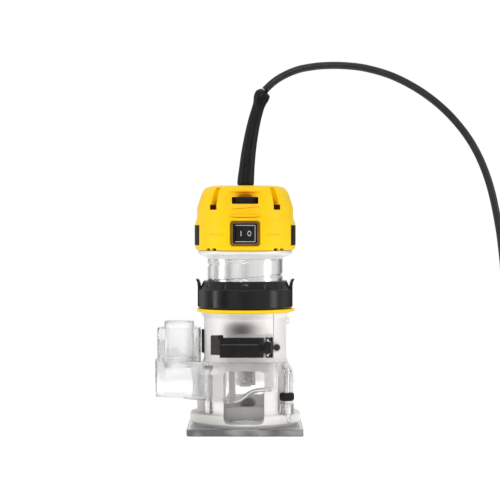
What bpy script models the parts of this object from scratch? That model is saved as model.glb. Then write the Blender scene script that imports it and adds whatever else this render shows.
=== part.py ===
"""Trim router: motor in a clamped fixed base, clear dust adaptor, depth ring and lead.

Run with: blender --background --python part.py
Blender's unit is the metre. The dimensions below are millimetres, and MM turns them
into metres once, where a mesh is made. Heights are measured from the underside of
the sub-base, and x and y from the router's axis, with the front facing -Y.
"""

import math

import bmesh
import bpy
from mathutils import Matrix, Vector

MM = 0.001
GAP = 0.3

# The square plate and the adaptor's outlet set how far the object reaches each way.
PLATE_SIDE = 105.6
OUTLET_LEFT = -84.0
AXIS_X = -(PLATE_SIDE / 2 + OUTLET_LEFT) / 2

PLATE_TOP = 6.2
PLATE_CORNER_R = 3.0
BIT_HOLE_R = 20.0
SCREW_CIRCLE_R = 46.0

FLANGE_R = 51.4
FLANGE_BOTTOM = PLATE_TOP + GAP
FLANGE_TOP = 17.8
FLANGE_HOLE_R = 27.0
CAGE_R = 45.2
CAGE_INNER_R = 36.5
WINDOW_TOP = 58.0
WINDOW_X = (-19.5, 17.5)
BARREL_R = 38.2
BARREL_TOP = 110.1
BARREL_BORE_R = 35.35

MOTOR_R = 35.0
MOTOR_INNER_R = 32.4
MOTOR_TOP = 167.2

SCALE_RING_R = 44.6
SCALE_RING_TOP = 113.2
RING_R = 44.0
RING_BOTTOM = SCALE_RING_TOP + GAP
RING_FACET = 131.0
RING_TOP = 139.0
NOTCH_CIRCLE_R = 49.0
NOTCH_R = 8.0
TAB_PIVOT = (41.6, 118.0)

LEVER_PIVOT = (22.0, -46.8)
LEVER_Z = 80.0
CLAMP_BOLT = (-39.4, LEVER_Z)

CAP_BOTTOM = MOTOR_TOP + GAP
CAP_TOP = 227.0
SWITCH_Z = 183.0
DIAL_Z = 213.0
DIAL_CENTRE_Y = -27.3
DIAL_R = 13.5
CHANNEL_TURN = 41.0
CHANNEL_HALF = 4.2

# The thumb knob's stud stands on the right, and a long screw holds the left side.
STUD = (38.2, -31.0)
LEFT_SCREW = (-33.2, -27.6)
OUTLET = (-61.5, 4.5)

DUCT_LOW = 30.0
DUCT_HIGH = 65.0
WALL = 2.0
SHELL_R = 48.6
# The duct's straight front wall lies this far from the axis, square to this direction.
DUCT_WALL_NORMAL = (-0.6, -0.8)

CORD_R = 3.4
COIL_CENTRE = (307.0, 0.0)
COIL_INNER_R = 26.2
COIL_OUTER_R = 53.8
COIL_TOP = 14.5
TAIL_X = COIL_CENTRE[0] + 46.8
PLUG_START = COIL_CENTRE[1] + 35.5
PLUG_Z = 10.2

# The strain relief's centre line and radius, from inside the cap to its collar.
BOOT = (
    (0.0, 10.0, 218.0, 6.9),
    (0.3, 10.0, 227.6, 6.8),
    (0.4, 10.0, 229.8, 7.6),
    (1.3, 10.0, 241.0, 7.1),
    (2.4, 10.0, 252.0, 6.7),
    (3.8, 10.0, 263.0, 6.3),
    (5.6, 10.0, 273.5, 6.0),
    (7.3, 10.0, 283.0, 5.7),
    (9.7, 10.0, 292.0, 5.8),
    (11.9, 10.0, 299.5, 5.7),
    (14.2, 10.0, 306.4, 5.7),
    (15.0, 10.0, 308.6, 7.2),
    (16.4, 10.0, 312.4, 7.3),
    (17.1, 10.0, 314.2, 6.6),
)
# The lead's route from the collar, over and down to the floor, as far as its coil.
CORD_ROUTE = (
    (18.4, 10.0, 316.2),
    (22.8, 10.0, 320.6),
    (28.8, 10.0, 325.6),
    (36.6, 9.9, 330.2),
    (45.3, 9.8, 334.0),
    (53.8, 9.6, 336.5),
    (71.0, 9.2, 338.9),
    (92.4, 8.6, 339.0),
    (115.0, 8.0, 336.0),
    (141.0, 7.0, 327.5),
    (168.0, 5.5, 312.0),
    (192.0, 3.5, 291.0),
    (212.0, 1.0, 264.0),
    (226.0, -1.5, 231.0),
    (235.0, -4.0, 190.0),
    (240.0, -7.0, 146.0),
    (243.0, -14.0, 104.0),
    (244.5, -24.0, 68.0),
    (247.0, -35.0, 41.0),
    (252.0, -43.5, 22.0),
    (260.0, -48.4, 9.8),
    (270.0, -50.1, 4.6),
    (279.0, -50.2, 3.5),
)
CORD_POINT_EVERY = 17.0


# ---------------------------------------------------------------- scene and materials


def clear_scene():
    for obj in list(bpy.data.objects):
        bpy.data.objects.remove(obj, do_unlink=True)


def finish(name, color, roughness, metallic=0.0, transmission=0.0):
    material = bpy.data.materials.new(name)
    material.use_nodes = True
    shader = material.node_tree.nodes["Principled BSDF"]
    shader.inputs["Base Color"].default_value = (*color, 1.0)
    shader.inputs["Roughness"].default_value = roughness
    shader.inputs["Metallic"].default_value = metallic
    shader.inputs["Transmission Weight"].default_value = transmission
    material.diffuse_color = (*color, 1.0)
    return material


clear_scene()

CAST = finish("cast_aluminium", (0.72, 0.70, 0.67), 0.35, 0.9)
TURNED = finish("turned_aluminium", (0.80, 0.79, 0.77), 0.25, 1.0)
CLEAR = finish("clear_polycarbonate", (0.94, 0.96, 0.96), 0.05, 0.0, 0.9)
SMOKE = finish("smoked_clear_plate", (0.60, 0.60, 0.57), 0.08, 0.0, 0.6)
YELLOW = finish("yellow_plastic", (0.93, 0.60, 0.01), 0.42)
BLACK = finish("black_plastic", (0.015, 0.014, 0.015), 0.35)
RUBBER = finish("black_rubber", (0.02, 0.02, 0.021), 0.6)
STEEL = finish("bright_steel", (0.62, 0.62, 0.62), 0.25, 1.0)
DARK_STEEL = finish("black_steel", (0.03, 0.03, 0.03), 0.35, 0.8)
COPPER = finish("copper_winding", (0.60, 0.25, 0.10), 0.4, 0.9)
LAMINATION = finish("lamination_steel", (0.30, 0.30, 0.32), 0.5, 0.8)
CARBON = finish("carbon_brush", (0.05, 0.05, 0.05), 0.7)
BOARD = finish("circuit_board", (0.04, 0.20, 0.08), 0.5)
LABEL = finish("black_label", (0.012, 0.012, 0.012), 0.5)


def axis_empty():
    """The router's own axis, which every piece is placed on."""
    holder = bpy.data.objects.new("router_axis", None)
    holder.location.x = AXIS_X * MM
    bpy.context.scene.collection.objects.link(holder)
    return holder


AXIS = axis_empty()


# ---------------------------------------------------------------- shapes


def join_rings(bm, first, second):
    """Faces between two rings of vertices, either of which may be a single point."""
    count = max(len(first), len(second))
    for step in range(count):
        after = (step + 1) % count
        corners = [
            first[step % len(first)],
            first[after % len(first)],
            second[after % len(second)],
            second[step % len(second)],
        ]
        unique = list(dict.fromkeys(corners))
        if len(unique) > 2:
            bm.faces.new(unique)


def turned(profile, steps=40, centre=(0.0, 0.0), axis="Z"):
    """A solid turned from (radius, height) points, in order round its section."""
    bm = bmesh.new()
    rings = []
    for radius, height in profile:
        count = steps if radius > 0 else 1
        ring = []
        for step in range(count):
            angle = 2 * math.pi * step / steps
            across = centre[0] + radius * math.cos(angle)
            along = centre[1] + radius * math.sin(angle)
            ring.append(bm.verts.new(oriented(across, along, height, axis)))
        rings.append(ring)
    for first, second in zip(rings, rings[1:]):
        join_rings(bm, first, second)
    if profile[0][0] > 0 and profile[-1][0] > 0:
        join_rings(bm, rings[-1], rings[0])
    return bm


def oriented(across, along, height, axis):
    """Turns a point of an upright shape so that the shape's height runs along axis."""
    if axis == "Z":
        return (across, along, height)
    if axis == "Y":
        return (across, height, along)
    return (height, across, along)


def prism(outline, low, high, axis="Z"):
    """An outline drawn square to axis, and extruded along it from low to high."""
    bm = bmesh.new()
    lower = [bm.verts.new(oriented(*point, low, axis)) for point in outline]
    upper = [bm.verts.new(oriented(*point, high, axis)) for point in outline]
    join_rings(bm, lower, upper)
    bm.faces.new(lower)
    bm.faces.new(list(reversed(upper)))
    return bm


def block(x, y, z):
    """A box from its (low, high) pairs."""
    return prism([(x[0], y[0]), (x[1], y[0]), (x[1], y[1]), (x[0], y[1])], *z)


def swept(stations, sides=16):
    """A round solid along (x, y, z, radius) stations, with flat ends."""
    bm = bmesh.new()
    points = [Vector(station[:3]) for station in stations]
    rings = []
    for index, point in enumerate(points):
        before = points[max(index - 1, 0)]
        after = points[min(index + 1, len(points) - 1)]
        ahead = (after - before).normalized()
        level = Vector((0, 1, 0)) if abs(ahead.y) < 0.9 else Vector((0, 0, 1))
        side = level.cross(ahead).normalized()
        up = ahead.cross(side)
        ring = []
        for step in range(sides):
            angle = 2 * math.pi * step / sides
            arm = side * math.cos(angle) + up * math.sin(angle)
            ring.append(bm.verts.new(point + arm * stations[index][3]))
        rings.append(ring)
    for first, second in zip(rings, rings[1:]):
        join_rings(bm, first, second)
    bm.faces.new(rings[0])
    bm.faces.new(list(reversed(rings[-1])))
    return bm


def arc(radius, start, end, steps, centre=(0.0, 0.0)):
    """Points on an arc. Angles are degrees from the front (-Y), positive to the right."""
    points = []
    for step in range(steps + 1):
        angle = math.radians(start + (end - start) * step / steps)
        points.append(
            (centre[0] + radius * math.sin(angle), centre[1] - radius * math.cos(angle))
        )
    return points


def rounded_box(x, y, radius, steps=3):
    """The outline of a rectangle with round corners, from its (low, high) pairs."""
    points = []
    corners = ((x[1], y[0], -90), (x[1], y[1], 0), (x[0], y[1], 90), (x[0], y[0], 180))
    for corner_x, corner_y, start in corners:
        centre_x = corner_x - math.copysign(radius, corner_x - sum(x) / 2)
        centre_y = corner_y - math.copysign(radius, corner_y - sum(y) / 2)
        for step in range(steps + 1):
            angle = math.radians(start + 90 * step / steps)
            points.append(
                (
                    centre_x + radius * math.cos(angle),
                    centre_y + radius * math.sin(angle),
                )
            )
    return points


def add(name, bm, material, pivot=(0.0, 0.0, 0.0)):
    """Makes one piece on the router's axis, with its origin at pivot."""
    bmesh.ops.recalc_face_normals(bm, faces=bm.faces)
    for vertex in bm.verts:
        vertex.co = (vertex.co - Vector(pivot)) * MM
    mesh = bpy.data.meshes.new(name)
    bm.to_mesh(mesh)
    bm.free()
    mesh.materials.append(material)
    mesh.shade_smooth()
    mesh.set_sharp_from_angle(angle=math.radians(30))
    obj = bpy.data.objects.new(name, mesh)
    obj.location = Vector(pivot) * MM
    obj.parent = AXIS
    bpy.context.scene.collection.objects.link(obj)
    return obj


def helper(name, bm):
    """A shape that only cuts or joins others, and isn't a piece itself."""
    obj = add(name, bm, LABEL)
    obj.hide_render = True
    obj.display_type = "WIRE"
    return obj


def combine(target, others, operation):
    for other in others:
        modifier = target.modifiers.new(f"{operation}_{other.name}", "BOOLEAN")
        modifier.operation = operation
        modifier.object = other


def cut(target, *cutters):
    combine(target, cutters, "DIFFERENCE")


def weld(target, *others):
    combine(target, others, "UNION")


def rod(radius, low, high, steps=12, centre=(0.0, 0.0), axis="Z"):
    """A plain round bar, or the way that one needs."""
    section = [(0, low), (radius, low), (radius, high), (0, high)]
    return turned(section, steps, centre, axis)


# ---------------------------------------------------------------- fixed base


def screw_places():
    return [
        (
            SCREW_CIRCLE_R * math.cos(math.radians(angle)),
            SCREW_CIRCLE_R * math.sin(math.radians(angle)),
        )
        for angle in (45, 135, 225, 315)
    ]


def make_sub_base():
    half = PLATE_SIDE / 2
    outline = rounded_box((-half, half), (-half, half), PLATE_CORNER_R)
    plate = add("sub_base", prism(outline, 0, PLATE_TOP), SMOKE)
    cut(plate, helper("bit_hole", rod(BIT_HOLE_R, -1, 8, 32)))
    return plate


def make_base_casting():
    section = [
        (FLANGE_HOLE_R, FLANGE_BOTTOM),
        (FLANGE_R - 3.2, FLANGE_BOTTOM),
        (FLANGE_R, FLANGE_BOTTOM + 3.2),
        (FLANGE_R, FLANGE_TOP - 1.6),
        (FLANGE_R - 1.6, FLANGE_TOP),
        (CAGE_R, FLANGE_TOP),
        (CAGE_R, 48),
        (44.4, 54),
        (42.2, 59.5),
        (39.8, 63),
        (BARREL_R, 66),
        (BARREL_R, 103),
        (39.4, 106.5),
        (41.6, 109.2),
        (41.6, BARREL_TOP),
        (BARREL_BORE_R, BARREL_TOP),
        (BARREL_BORE_R, 62),
        (CAGE_INNER_R, 60),
        (CAGE_INNER_R, FLANGE_TOP),
        (FLANGE_HOLE_R, FLANGE_TOP),
    ]
    casting = add("base_casting", turned(section), CAST)
    boss = helper("lever_boss", block((-16, 26), (-42, -30), (66, 93.6)))
    lug = helper("stop_lug", block((20, 32), (-41.9, -15), (75.5, 83.5)))
    weld(casting, boss, lug)
    window = rounded_box(WINDOW_X, (10, WINDOW_TOP), 6)
    rear_window = rounded_box((-19, 19), (29, 54), 6)
    sill = FLANGE_TOP + GAP
    cut(
        casting,
        helper("motor_bore", rod(BARREL_BORE_R, 58, 112, 40)),
        helper("front_window", block(WINDOW_X, (-60, -12.5), (sill, 50))),
        helper("window_head", prism(window, -60, -12.5, "Y")),
        helper("rear_window", prism(rear_window, 12.5, 60, "Y")),
        helper("right_opening", block((30, 60), (-60, -20), (sill, WINDOW_TOP - 4))),
        helper("left_opening", block((-60, -28.6), (-60, -10), (sill, WINDOW_TOP - 4))),
        helper("arch_room", block((33, 60), (-45, -20), (50, 72))),
        helper("clamp_split", block((25.7, 26.5), (-60, -20), (52, 112))),
        helper("clamp_bolt_way", rod(2.3, -20, 40, 12, CLAMP_BOLT, "X")),
    )
    return casting


def make_plate_screws(plate, casting):
    for number, (x, y) in enumerate(screw_places(), 1):
        way = [(0, -1), (4.0, -1), (4.0, 1.75), (2.05, 3.75), (2.05, 13.4), (0, 13.4)]
        cutter = helper(f"screw_way_{number}", turned(way, 12, (x, y)))
        cut(plate, cutter)
        cut(casting, cutter)
        section = [(0, 0.9), (3.6, 0.9), (3.6, 1.5), (1.7, 3.4), (1.7, 13), (0, 13)]
        add(f"sub_base_screw_{number}", turned(section, 12, (x, y)), STEEL)


def make_clamp():
    bolt = [(0, -20.5), (3.6, -20.5), (3.6, -16.4), (2.0, -16.4), (2.0, 31), (0, 31)]
    add("clamp_bolt", turned(bolt, 12, CLAMP_BOLT, "X"), STEEL)
    stop = [(0, -44.9), (2.5, -44.9), (3.0, -44.4), (3.0, -42.2), (0, -42.2)]
    add("clamp_adjusting_screw", turned(stop, 12, (28.8, LEVER_Z - 0.3), "Y"), DARK_STEEL)
    bracket = add(
        "lever_bracket",
        block((18.7, 25.3), (-49.0, -42.3), (70.9, 89.1)),
        DARK_STEEL,
    )
    cut(
        bracket,
        helper("knuckle_room", block((15, 35), (-55, -43.1), (74.4, 85.6))),
        helper("pin_way", rod(1.6, 60, 100, 12, LEVER_PIVOT)),
    )
    add("lever_pin", rod(1.3, 70.6, 89.4, 12, LEVER_PIVOT), STEEL)


def duct_line(x, distance=SHELL_R):
    """The y of the duct's straight front wall at x, at a distance from the axis."""
    return (distance - DUCT_WALL_NORMAL[0] * x) / DUCT_WALL_NORMAL[1]


def make_dust_adaptor():
    outer = arc(SHELL_R, 36, -6, 7)
    outer += [(-14.5, duct_line(-14.5)), (-76, duct_line(-76)), (-81, 1), (-83.4, 5)]
    outer += [(OUTLET_LEFT, 9), (OUTLET_LEFT, 23), (-82, 25.5), (-46.2, 25.5)]
    outer += [(-46.2, -6.5), (-33, -33)]
    outer += arc(SHELL_R - WALL, -42, 36, 12)
    adaptor = add("dust_adaptor", prism(outer, DUCT_LOW, DUCT_HIGH), CLEAR)

    inner_line = SHELL_R - WALL
    inner = [(-17, duct_line(-17, inner_line)), (-75, duct_line(-75, inner_line))]
    inner += [(-79.6, 3), (-82, 9), (-82, 22), (-81, 23.5), (-48.2, 23.5)]
    inner += [(-48.2, -8), (-36, -24), (-20, -36)]
    room = helper("duct_room", prism(inner, DUCT_LOW + WALL, DUCT_HIGH - WALL))

    roof = arc(SHELL_R, 38, -48, 12) + arc(41.0, -48, 38, 12)
    bridge = arc(44.4, 57, 34, 4) + arc(41.0, 34, 57, 4)
    fin = [(33.4, 61.2), (36, 60.2), (39.5, 56), (41.2, 50), (41.6, 44), (41.6, 18.3)]
    fin += [(45.2, 18.3), (45.2, 46), (44.3, 52.5), (41.8, 58), (38.2, 62.4), (33.4, 65.2)]
    foot = rounded_box((STUD[0] - 6.5, STUD[0] + 6.5), (STUD[1] - 6.5, -21.5), 5)
    lug = rounded_box((34, 42.4), (STUD[1] - 4.5, -21.5), 2)
    sleeve = [(18.7, 63.5), (20.5, 63.5), (20.5, 95), (18.7, 95)]
    weld(
        adaptor,
        helper("roof_band", prism(roof, 62.7, 65.5)),
        helper("roof_end", prism(bridge, 62.8, 65.4)),
        helper("arch_fin", prism(fin, -23.6, -21.0, "Y")),
        helper("stud_foot", prism(foot, 18.1, 27.2)),
        helper("stud_lug", prism(lug, 55.8, 58.6)),
        helper("outlet_sleeve", turned(sleeve, 32, OUTLET)),
    )
    sweep = [(-9, 20), (-9, 30.6), (-4, 32.4), (1, 35.8), (6, 39.2), (11, 40.8), (40, 41.2), (40, 20)]
    cut(adaptor, room, helper("lower_edge_sweep", prism(sweep, -60, -37.8, "Y")))
    weld(adaptor, helper("left_column", rod(4.2, 18.3, 59.2, 12, LEFT_SCREW)))
    holes = (
        ("stud_way", 3.1, 10, 70, STUD, 12),
        ("left_screw_way", 2.3, 10, 62.4, LEFT_SCREW, 12),
        ("outlet_hole", 14.2, 57, 70, OUTLET, 24),
    )
    for name, radius, low, high, centre, steps in holes:
        cut(adaptor, helper(name, rod(radius, low, high, steps, centre)))


def make_adaptor_fittings(casting):
    spout = [(12.2, 58), (13.8, 58), (13.8, 65.8), (16.4, 65.8), (16.4, 68), (13.8, 68)]
    spout += [(13.8, 101), (12.2, 101)]
    add("hose_spout", turned(spout, 28, OUTLET), CLEAR)
    add("adaptor_stud", rod(2.7, 10.2, 60.2, 12, STUD), STEEL)
    screw = [(0, 10.2), (1.9, 10.2), (1.9, 59.5), (4.2, 59.5), (4.2, 61), (3.2, 62), (0, 62)]
    add("adaptor_left_screw", turned(screw, 12, LEFT_SCREW), DARK_STEEL)
    for name, radius, centre in (("stud_seat", 3.0, STUD), ("left_seat", 2.2, LEFT_SCREW)):
        cut(casting, helper(name, rod(radius, 9.8, 22, 12, centre)))
    cut(casting, helper("screw_head_room", rod(4.9, 50, 70, 16, LEFT_SCREW)))
    knob = [(3.0, 30.2), (5.9, 30.2), (6.75, 31.4), (6.75, 36.2), (5.9, 37.4), (3.0, 37.4)]
    add("thumb_knob", turned(knob, 16, STUD), BLACK, pivot=(*STUD, 33.8))
    clip = arc(40.6, -96, -80, 2) + arc(38.6, -80, -96, 2)
    add("adaptor_clip", prism(clip, 72, 93.6), RUBBER)


# ---------------------------------------------------------------- lever, rings and tabs


def make_clamp_lever():
    pivot_x, pivot_y = LEVER_PIVOT
    lever = add(
        "clamp_lever",
        block((-23, pivot_x - 5), (-52.2, -45.4), (LEVER_Z - 9, LEVER_Z + 9)),
        BLACK,
        pivot=(pivot_x, pivot_y, LEVER_Z),
    )
    neck = block((pivot_x - 6, pivot_x), (-50.0, -44.2), (LEVER_Z - 5, LEVER_Z + 5))
    grip = block((-31, -22), (-51.2, -44.4), (LEVER_Z - 6.6, LEVER_Z + 11))
    weld(
        lever,
        helper("lever_neck", neck),
        helper("lever_knuckle", rod(3.4, LEVER_Z - 5, LEVER_Z + 5, 16, LEVER_PIVOT)),
        helper("lever_grip", grip),
    )
    cut(lever, helper("lever_pin_way", rod(1.6, 60, 100, 12, LEVER_PIVOT)))


def make_scale_ring():
    section = [
        (BARREL_BORE_R + 0.1, BARREL_TOP + GAP),
        (SCALE_RING_R, BARREL_TOP + GAP),
        (SCALE_RING_R, SCALE_RING_TOP),
        (BARREL_BORE_R + 0.1, SCALE_RING_TOP),
    ]
    ring = add("scale_ring", turned(section), YELLOW)
    nub = block((SCALE_RING_R - 1, SCALE_RING_R + 1.2), (-1.5, 1.5), (110.7, 112.9))
    weld(ring, helper("zero_mark", nub))


def make_adjusting_ring():
    section = [
        (BARREL_BORE_R + 0.1, RING_BOTTOM),
        (RING_R - 1.0, RING_BOTTOM),
        (RING_R, RING_BOTTOM + 1.6),
        (RING_R, RING_FACET),
        (RING_R - 1.2, RING_FACET + 0.6),
        (RING_R - 4.5, RING_TOP),
        (BARREL_BORE_R + 0.1, RING_TOP),
    ]
    ring = add("adjusting_ring", turned(section), BLACK)
    for side, sign in (("left", -1), ("right", 1)):
        pocket = sorted((sign * 38.4, sign * 50))
        centre = (sign * TAB_PIVOT[0], TAB_PIVOT[1])
        cut(
            ring,
            helper(f"tab_pocket_{side}", block(pocket, (-9.4, 9.4), (115, 145))),
            helper(f"tab_pin_seat_{side}", rod(1.15, -12, 12, 8, centre, "Y")),
        )
    for index in range(10):
        angle = math.radians(34 + 28 * (index % 5) + 180 * (index // 5))
        centre = (NOTCH_CIRCLE_R * math.cos(angle), NOTCH_CIRCLE_R * math.sin(angle))
        cut(ring, helper(f"finger_notch_{index}", rod(NOTCH_R, 132.6, 145, 24, centre)))


def make_tabs():
    for side, sign in (("left", -1), ("right", 1)):
        pivot = (sign * TAB_PIVOT[0], 0, TAB_PIVOT[1])
        section = [(39.6, 115.3), (43.9, 115.3), (43.9, 134), (44.3, 138), (45.6, 140.2)]
        section += [(44.9, 140.9), (42.6, 139.6), (41.2, 136), (41.0, 121), (39.6, 120)]
        outline = [(sign * x, z) for x, z in section]
        tab = add(f"release_tab_{side}", prism(outline, -9, 9, "Y"), BLACK, pivot=pivot)
        centre = (pivot[0], pivot[2])
        cut(tab, helper(f"tab_pin_way_{side}", rod(1.15, -12, 12, 8, centre, "Y")))
        add(f"tab_pin_{side}", rod(0.85, -11.6, 11.6, 8, centre, "Y"), STEEL)


# ---------------------------------------------------------------- motor


def make_motor_housing():
    section = [
        (10, 62),
        (18.5, 62),
        (18.5, 71),
        (34.2, 71),
        (MOTOR_R, 71.8),
        (MOTOR_R, 158.7),
        (37.5, 161),
        (42.3, 163.3),
        (43.6, 165),
        (43.9, MOTOR_TOP),
        (41.2, MOTOR_TOP),
        (39.5, 164.8),
        (34, 161),
        (MOTOR_INNER_R, 158.5),
        (MOTOR_INNER_R, 78),
        (16.3, 76.4),
        (16.3, 65.7),
        (10, 65.7),
    ]
    add("motor_housing", turned(section, 32), TURNED)


def make_motor_inside():
    rings = (
        ("lower_bearing", 5.3, 16.0, 66.0, 76.0, STEEL),
        ("air_baffle", 22.0, 32.1, 95.0, 98.0, BLACK),
        ("stator", 20.2, 32.1, 101.0, 139.0, LAMINATION),
        ("field_windings", 21.0, 28.5, 139.3, 147.0, COPPER),
        ("upper_bearing", 4.4, 11.0, 184.6, 194.2, STEEL),
    )
    for name, inner, outer, low, high, material in rings:
        section = [(inner, low), (outer, low), (outer, high), (inner, high)]
        add(name, turned(section, 24), material)
    bridge_section = [
        (31.9, 149),
        (31.9, 160),
        (23, 160),
        (23, 180),
        (14, 184),
        (14, 197),
        (4.8, 197),
        (4.8, 194.6),
        (11.3, 194.6),
        (11.3, 184.2),
        (10.4, 182),
        (20.6, 178.5),
        (20.6, 156),
        (30.5, 156),
        (30.5, 149),
    ]
    bridge = add("brush_bridge", turned(bridge_section, 24), BLACK)
    for side, sign in (("left", -1), ("right", 1)):
        way = sorted((sign * 15, sign * 40))
        cut(bridge, helper(f"holder_way_{side}", block(way, (-4.9, 4.9), (166.9, 177.1))))
        body = sorted((sign * 13.6, sign * 30))
        holder = add(f"brush_holder_{side}", block(body, (-4.6, 4.6), (167.2, 176.8)), STEEL)
        channel = sorted((sign * 5, sign * 28.5))
        cut(holder, helper(f"brush_way_{side}", block(channel, (-3.2, 3.2), (168.8, 175.2))))
        carbon = sorted((sign * 11.9, sign * 22))
        add(f"carbon_brush_{side}", block(carbon, (-2.9, 2.9), (169.1, 174.9)), CARBON)
    add("speed_module", block((-17, 17), (17, 30), (187, 203)), BOARD)
    cord_clamp = add("cord_clamp", block((-9, 9), (3, 17), (204, 211)), BLACK)
    cut(cord_clamp, helper("clamp_passage", rod(3.7, 200, 215, 12, (0, 10))))
    return bridge


def make_spindle():
    shaft = [(0, 55.3), (6.0, 55.3), (6.0, 58.5), (8.2, 58.5), (8.2, 65), (5.0, 65.6)]
    shaft += [(5.0, 180), (4.1, 181), (4.1, 194), (0, 194)]
    add("spindle_shaft", turned(shaft, 16), STEEL)
    core = [(5.3, 102), (19.5, 102), (19.5, 138), (5.3, 138)]
    add("armature_core", turned(core, 24), LAMINATION)
    winding = [(5.3, 138.3), (16, 138.3), (13, 150), (5.3, 152)]
    add("armature_winding", turned(winding, 20), COPPER)
    commutator = [(5.3, 161.5), (11.5, 161.5), (11.5, 178), (5.3, 178)]
    add("commutator", turned(commutator, 24), COPPER)
    nut = add("collet_nut", rod(11, 42, 58.2, 6), STEEL)
    cut(nut, helper("nut_bore", rod(6.4, 30, 70, 16)))
    collet = [(3.2, 40.4), (5.4, 40.4), (6.1, 43), (6.1, 55), (3.2, 55)]
    add("collet", turned(collet, 16), STEEL)
    hub = [(5.3, 82), (30.5, 82), (30.5, 83.6), (12, 85), (12, 94), (5.3, 94)]
    fan = add("fan", turned(hub, 24), BLACK)
    for index in range(9):
        blade = block((10, 30), (-0.7, 0.7), (83, 92.5))
        angle = 2 * math.pi * index / 9
        bmesh.ops.rotate(blade, verts=blade.verts, matrix=Matrix.Rotation(angle, 3, "Z"))
        weld(fan, helper(f"fan_blade_{index}", blade))


def make_lock_button():
    outline = rounded_box((-4, 4), (-33.8, -23), 1.5, 2)
    add("spindle_lock_button", prism(outline, 63, 70.6), BLACK, pivot=(0, -28, 66.8))


# ---------------------------------------------------------------- cap


def channel(middle):
    """A shallow channel that runs down the cap's shoulder into a cooling slot."""
    bm = bmesh.new()
    rings = []
    for height, floor in ((207.0, 42.1), (222.8, 38.4)):
        outline = arc(55, middle - CHANNEL_HALF, middle + CHANNEL_HALF, 2)
        outline += arc(floor, middle + CHANNEL_HALF, middle - CHANNEL_HALF, 2)
        rings.append([bm.verts.new((x, y, height)) for x, y in outline])
    join_rings(bm, *rings)
    for ring in rings:
        bm.faces.new(ring)
    bmesh.ops.recalc_face_normals(bm, faces=bm.faces)
    return bm


def make_cap(bridge):
    section = [
        (45.4, CAP_BOTTOM),
        (46.8, 171),
        (46.8, 191.5),
        (44.65, 196.5),
        (44.65, 207),
        (43.2, 211),
        (42.0, 215),
        (40.3, 219),
        (38.6, 222.2),
        (35.8, 224.8),
        (30.5, 226.4),
        (20.0, CAP_TOP),
        (0, CAP_TOP),
        (0, CAP_TOP - 2.6),
        (29.5, 223.8),
        (35.5, 220.5),
        (39.2, 214),
        (41.6, 206),
        (41.6, 196),
        (43.3, 191),
        (43.3, CAP_BOTTOM),
    ]
    cap = add("motor_cap", turned(section, 36), YELLOW)
    weld(cap, helper("switch_block", block((-15.5, 15.5), (-45.6, -36), (170.5, 195.3))))
    half_width, half_height = 13.25, 10.85
    recess = rounded_box(
        (-half_width, half_width), (SWITCH_Z - half_height, SWITCH_Z + half_height), 3
    )
    cut(
        cap,
        helper("front_flat", block((-17.2, 17.2), (-60, -45.2), (164, 199))),
        helper("switch_recess", prism(recess, -60, -40.2, "Y")),
        helper("switch_way", block((-11, 11), (-50, -30), (SWITCH_Z - 9.1, SWITCH_Z + 9.1))),
        helper("dial_window", block((-12, 12), (-60, -30), (DIAL_Z - 3.15, DIAL_Z + 3.15))),
    )
    for side, sign in (("left", -1), ("right", 1)):
        vent = sorted((sign * 26, sign * 32))
        cut(
            cap,
            helper(f"vent_{side}", block(vent, (-60, -20), (204.5, 209.5))),
            helper(f"vent_channel_{side}", channel(sign * CHANNEL_TURN)),
        )
        seat = arc(50, sign * 64, sign * 116, 8) + arc(45.0, sign * 116, sign * 64, 8)
        cut(cap, helper(f"panel_seat_{side}", prism(seat, 171.8, 190.6)))
        panel = arc(46.9, sign * 64.6, sign * 115.4, 8)
        panel += arc(45.3, sign * 115.4, sign * 64.6, 8)
        add(f"side_panel_{side}", prism(panel, 172.1, 190.3), LABEL)
    number = 0
    for x in (-21.5, 21.5):
        for y in (-18.7, 18.7):
            number += 1
            post = [(0, 160.3), (3.7, 160.3), (3.7, 225), (0, 225)]
            way = [(0, 150), (1.9, 150), (1.9, 172), (2.7, 172), (2.7, 235), (0, 235)]
            weld(cap, helper(f"cap_post_{number}", turned(post, 8, (x, y))))
            cut(cap, helper(f"cap_screw_way_{number}", turned(way, 8, (x, y))))
            seat = [*way[:3], (0, 172)]
            cut(bridge, helper(f"bridge_way_{number}", turned(seat, 8, (x, y))))
            screw = [(0, 152), (1.5, 152), (1.5, 172.3), (2.4, 172.3), (2.4, 175), (0, 175)]
            add(f"cap_screw_{number}", turned(screw, 8, (x, y)), STEEL)
    cut(cap, helper("boot_way", rod(7.3, 215, 240, 18, (0.2, 10))))


def make_switch():
    height = (SWITCH_Z - 8.8, SWITCH_Z + 8.8)
    room_height = (SWITCH_Z - 7.6, SWITCH_Z + 7.6)
    body = add("switch_body", block((-10.7, 10.7), (-41.4, -25), height), BLACK)
    cut(body, helper("rocker_room", block((-9.4, 9.4), (-50, -34.5), room_height)))
    pivot = (0, -39.6, SWITCH_Z)
    outline = [(-8.4, -42.6), (0, -41.4), (8.4, -43.4), (8.2, -38.6), (3, -36.2)]
    outline += [(-3, -36.2), (-8.3, -38)]
    add(
        "rocker_switch",
        prism(outline, SWITCH_Z - 7.2, SWITCH_Z + 7.2),
        BLACK,
        pivot=pivot,
    )


def make_speed_dial():
    section = [(2.3, DIAL_Z - 2.8), (DIAL_R, DIAL_Z - 2.8)]
    section += [(DIAL_R, DIAL_Z + 2.8), (2.3, DIAL_Z + 2.8)]
    add(
        "speed_dial",
        turned(section, 32, (0, DIAL_CENTRE_Y)),
        BLACK,
        pivot=(0, DIAL_CENTRE_Y, DIAL_Z),
    )


# ---------------------------------------------------------------- lead


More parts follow.
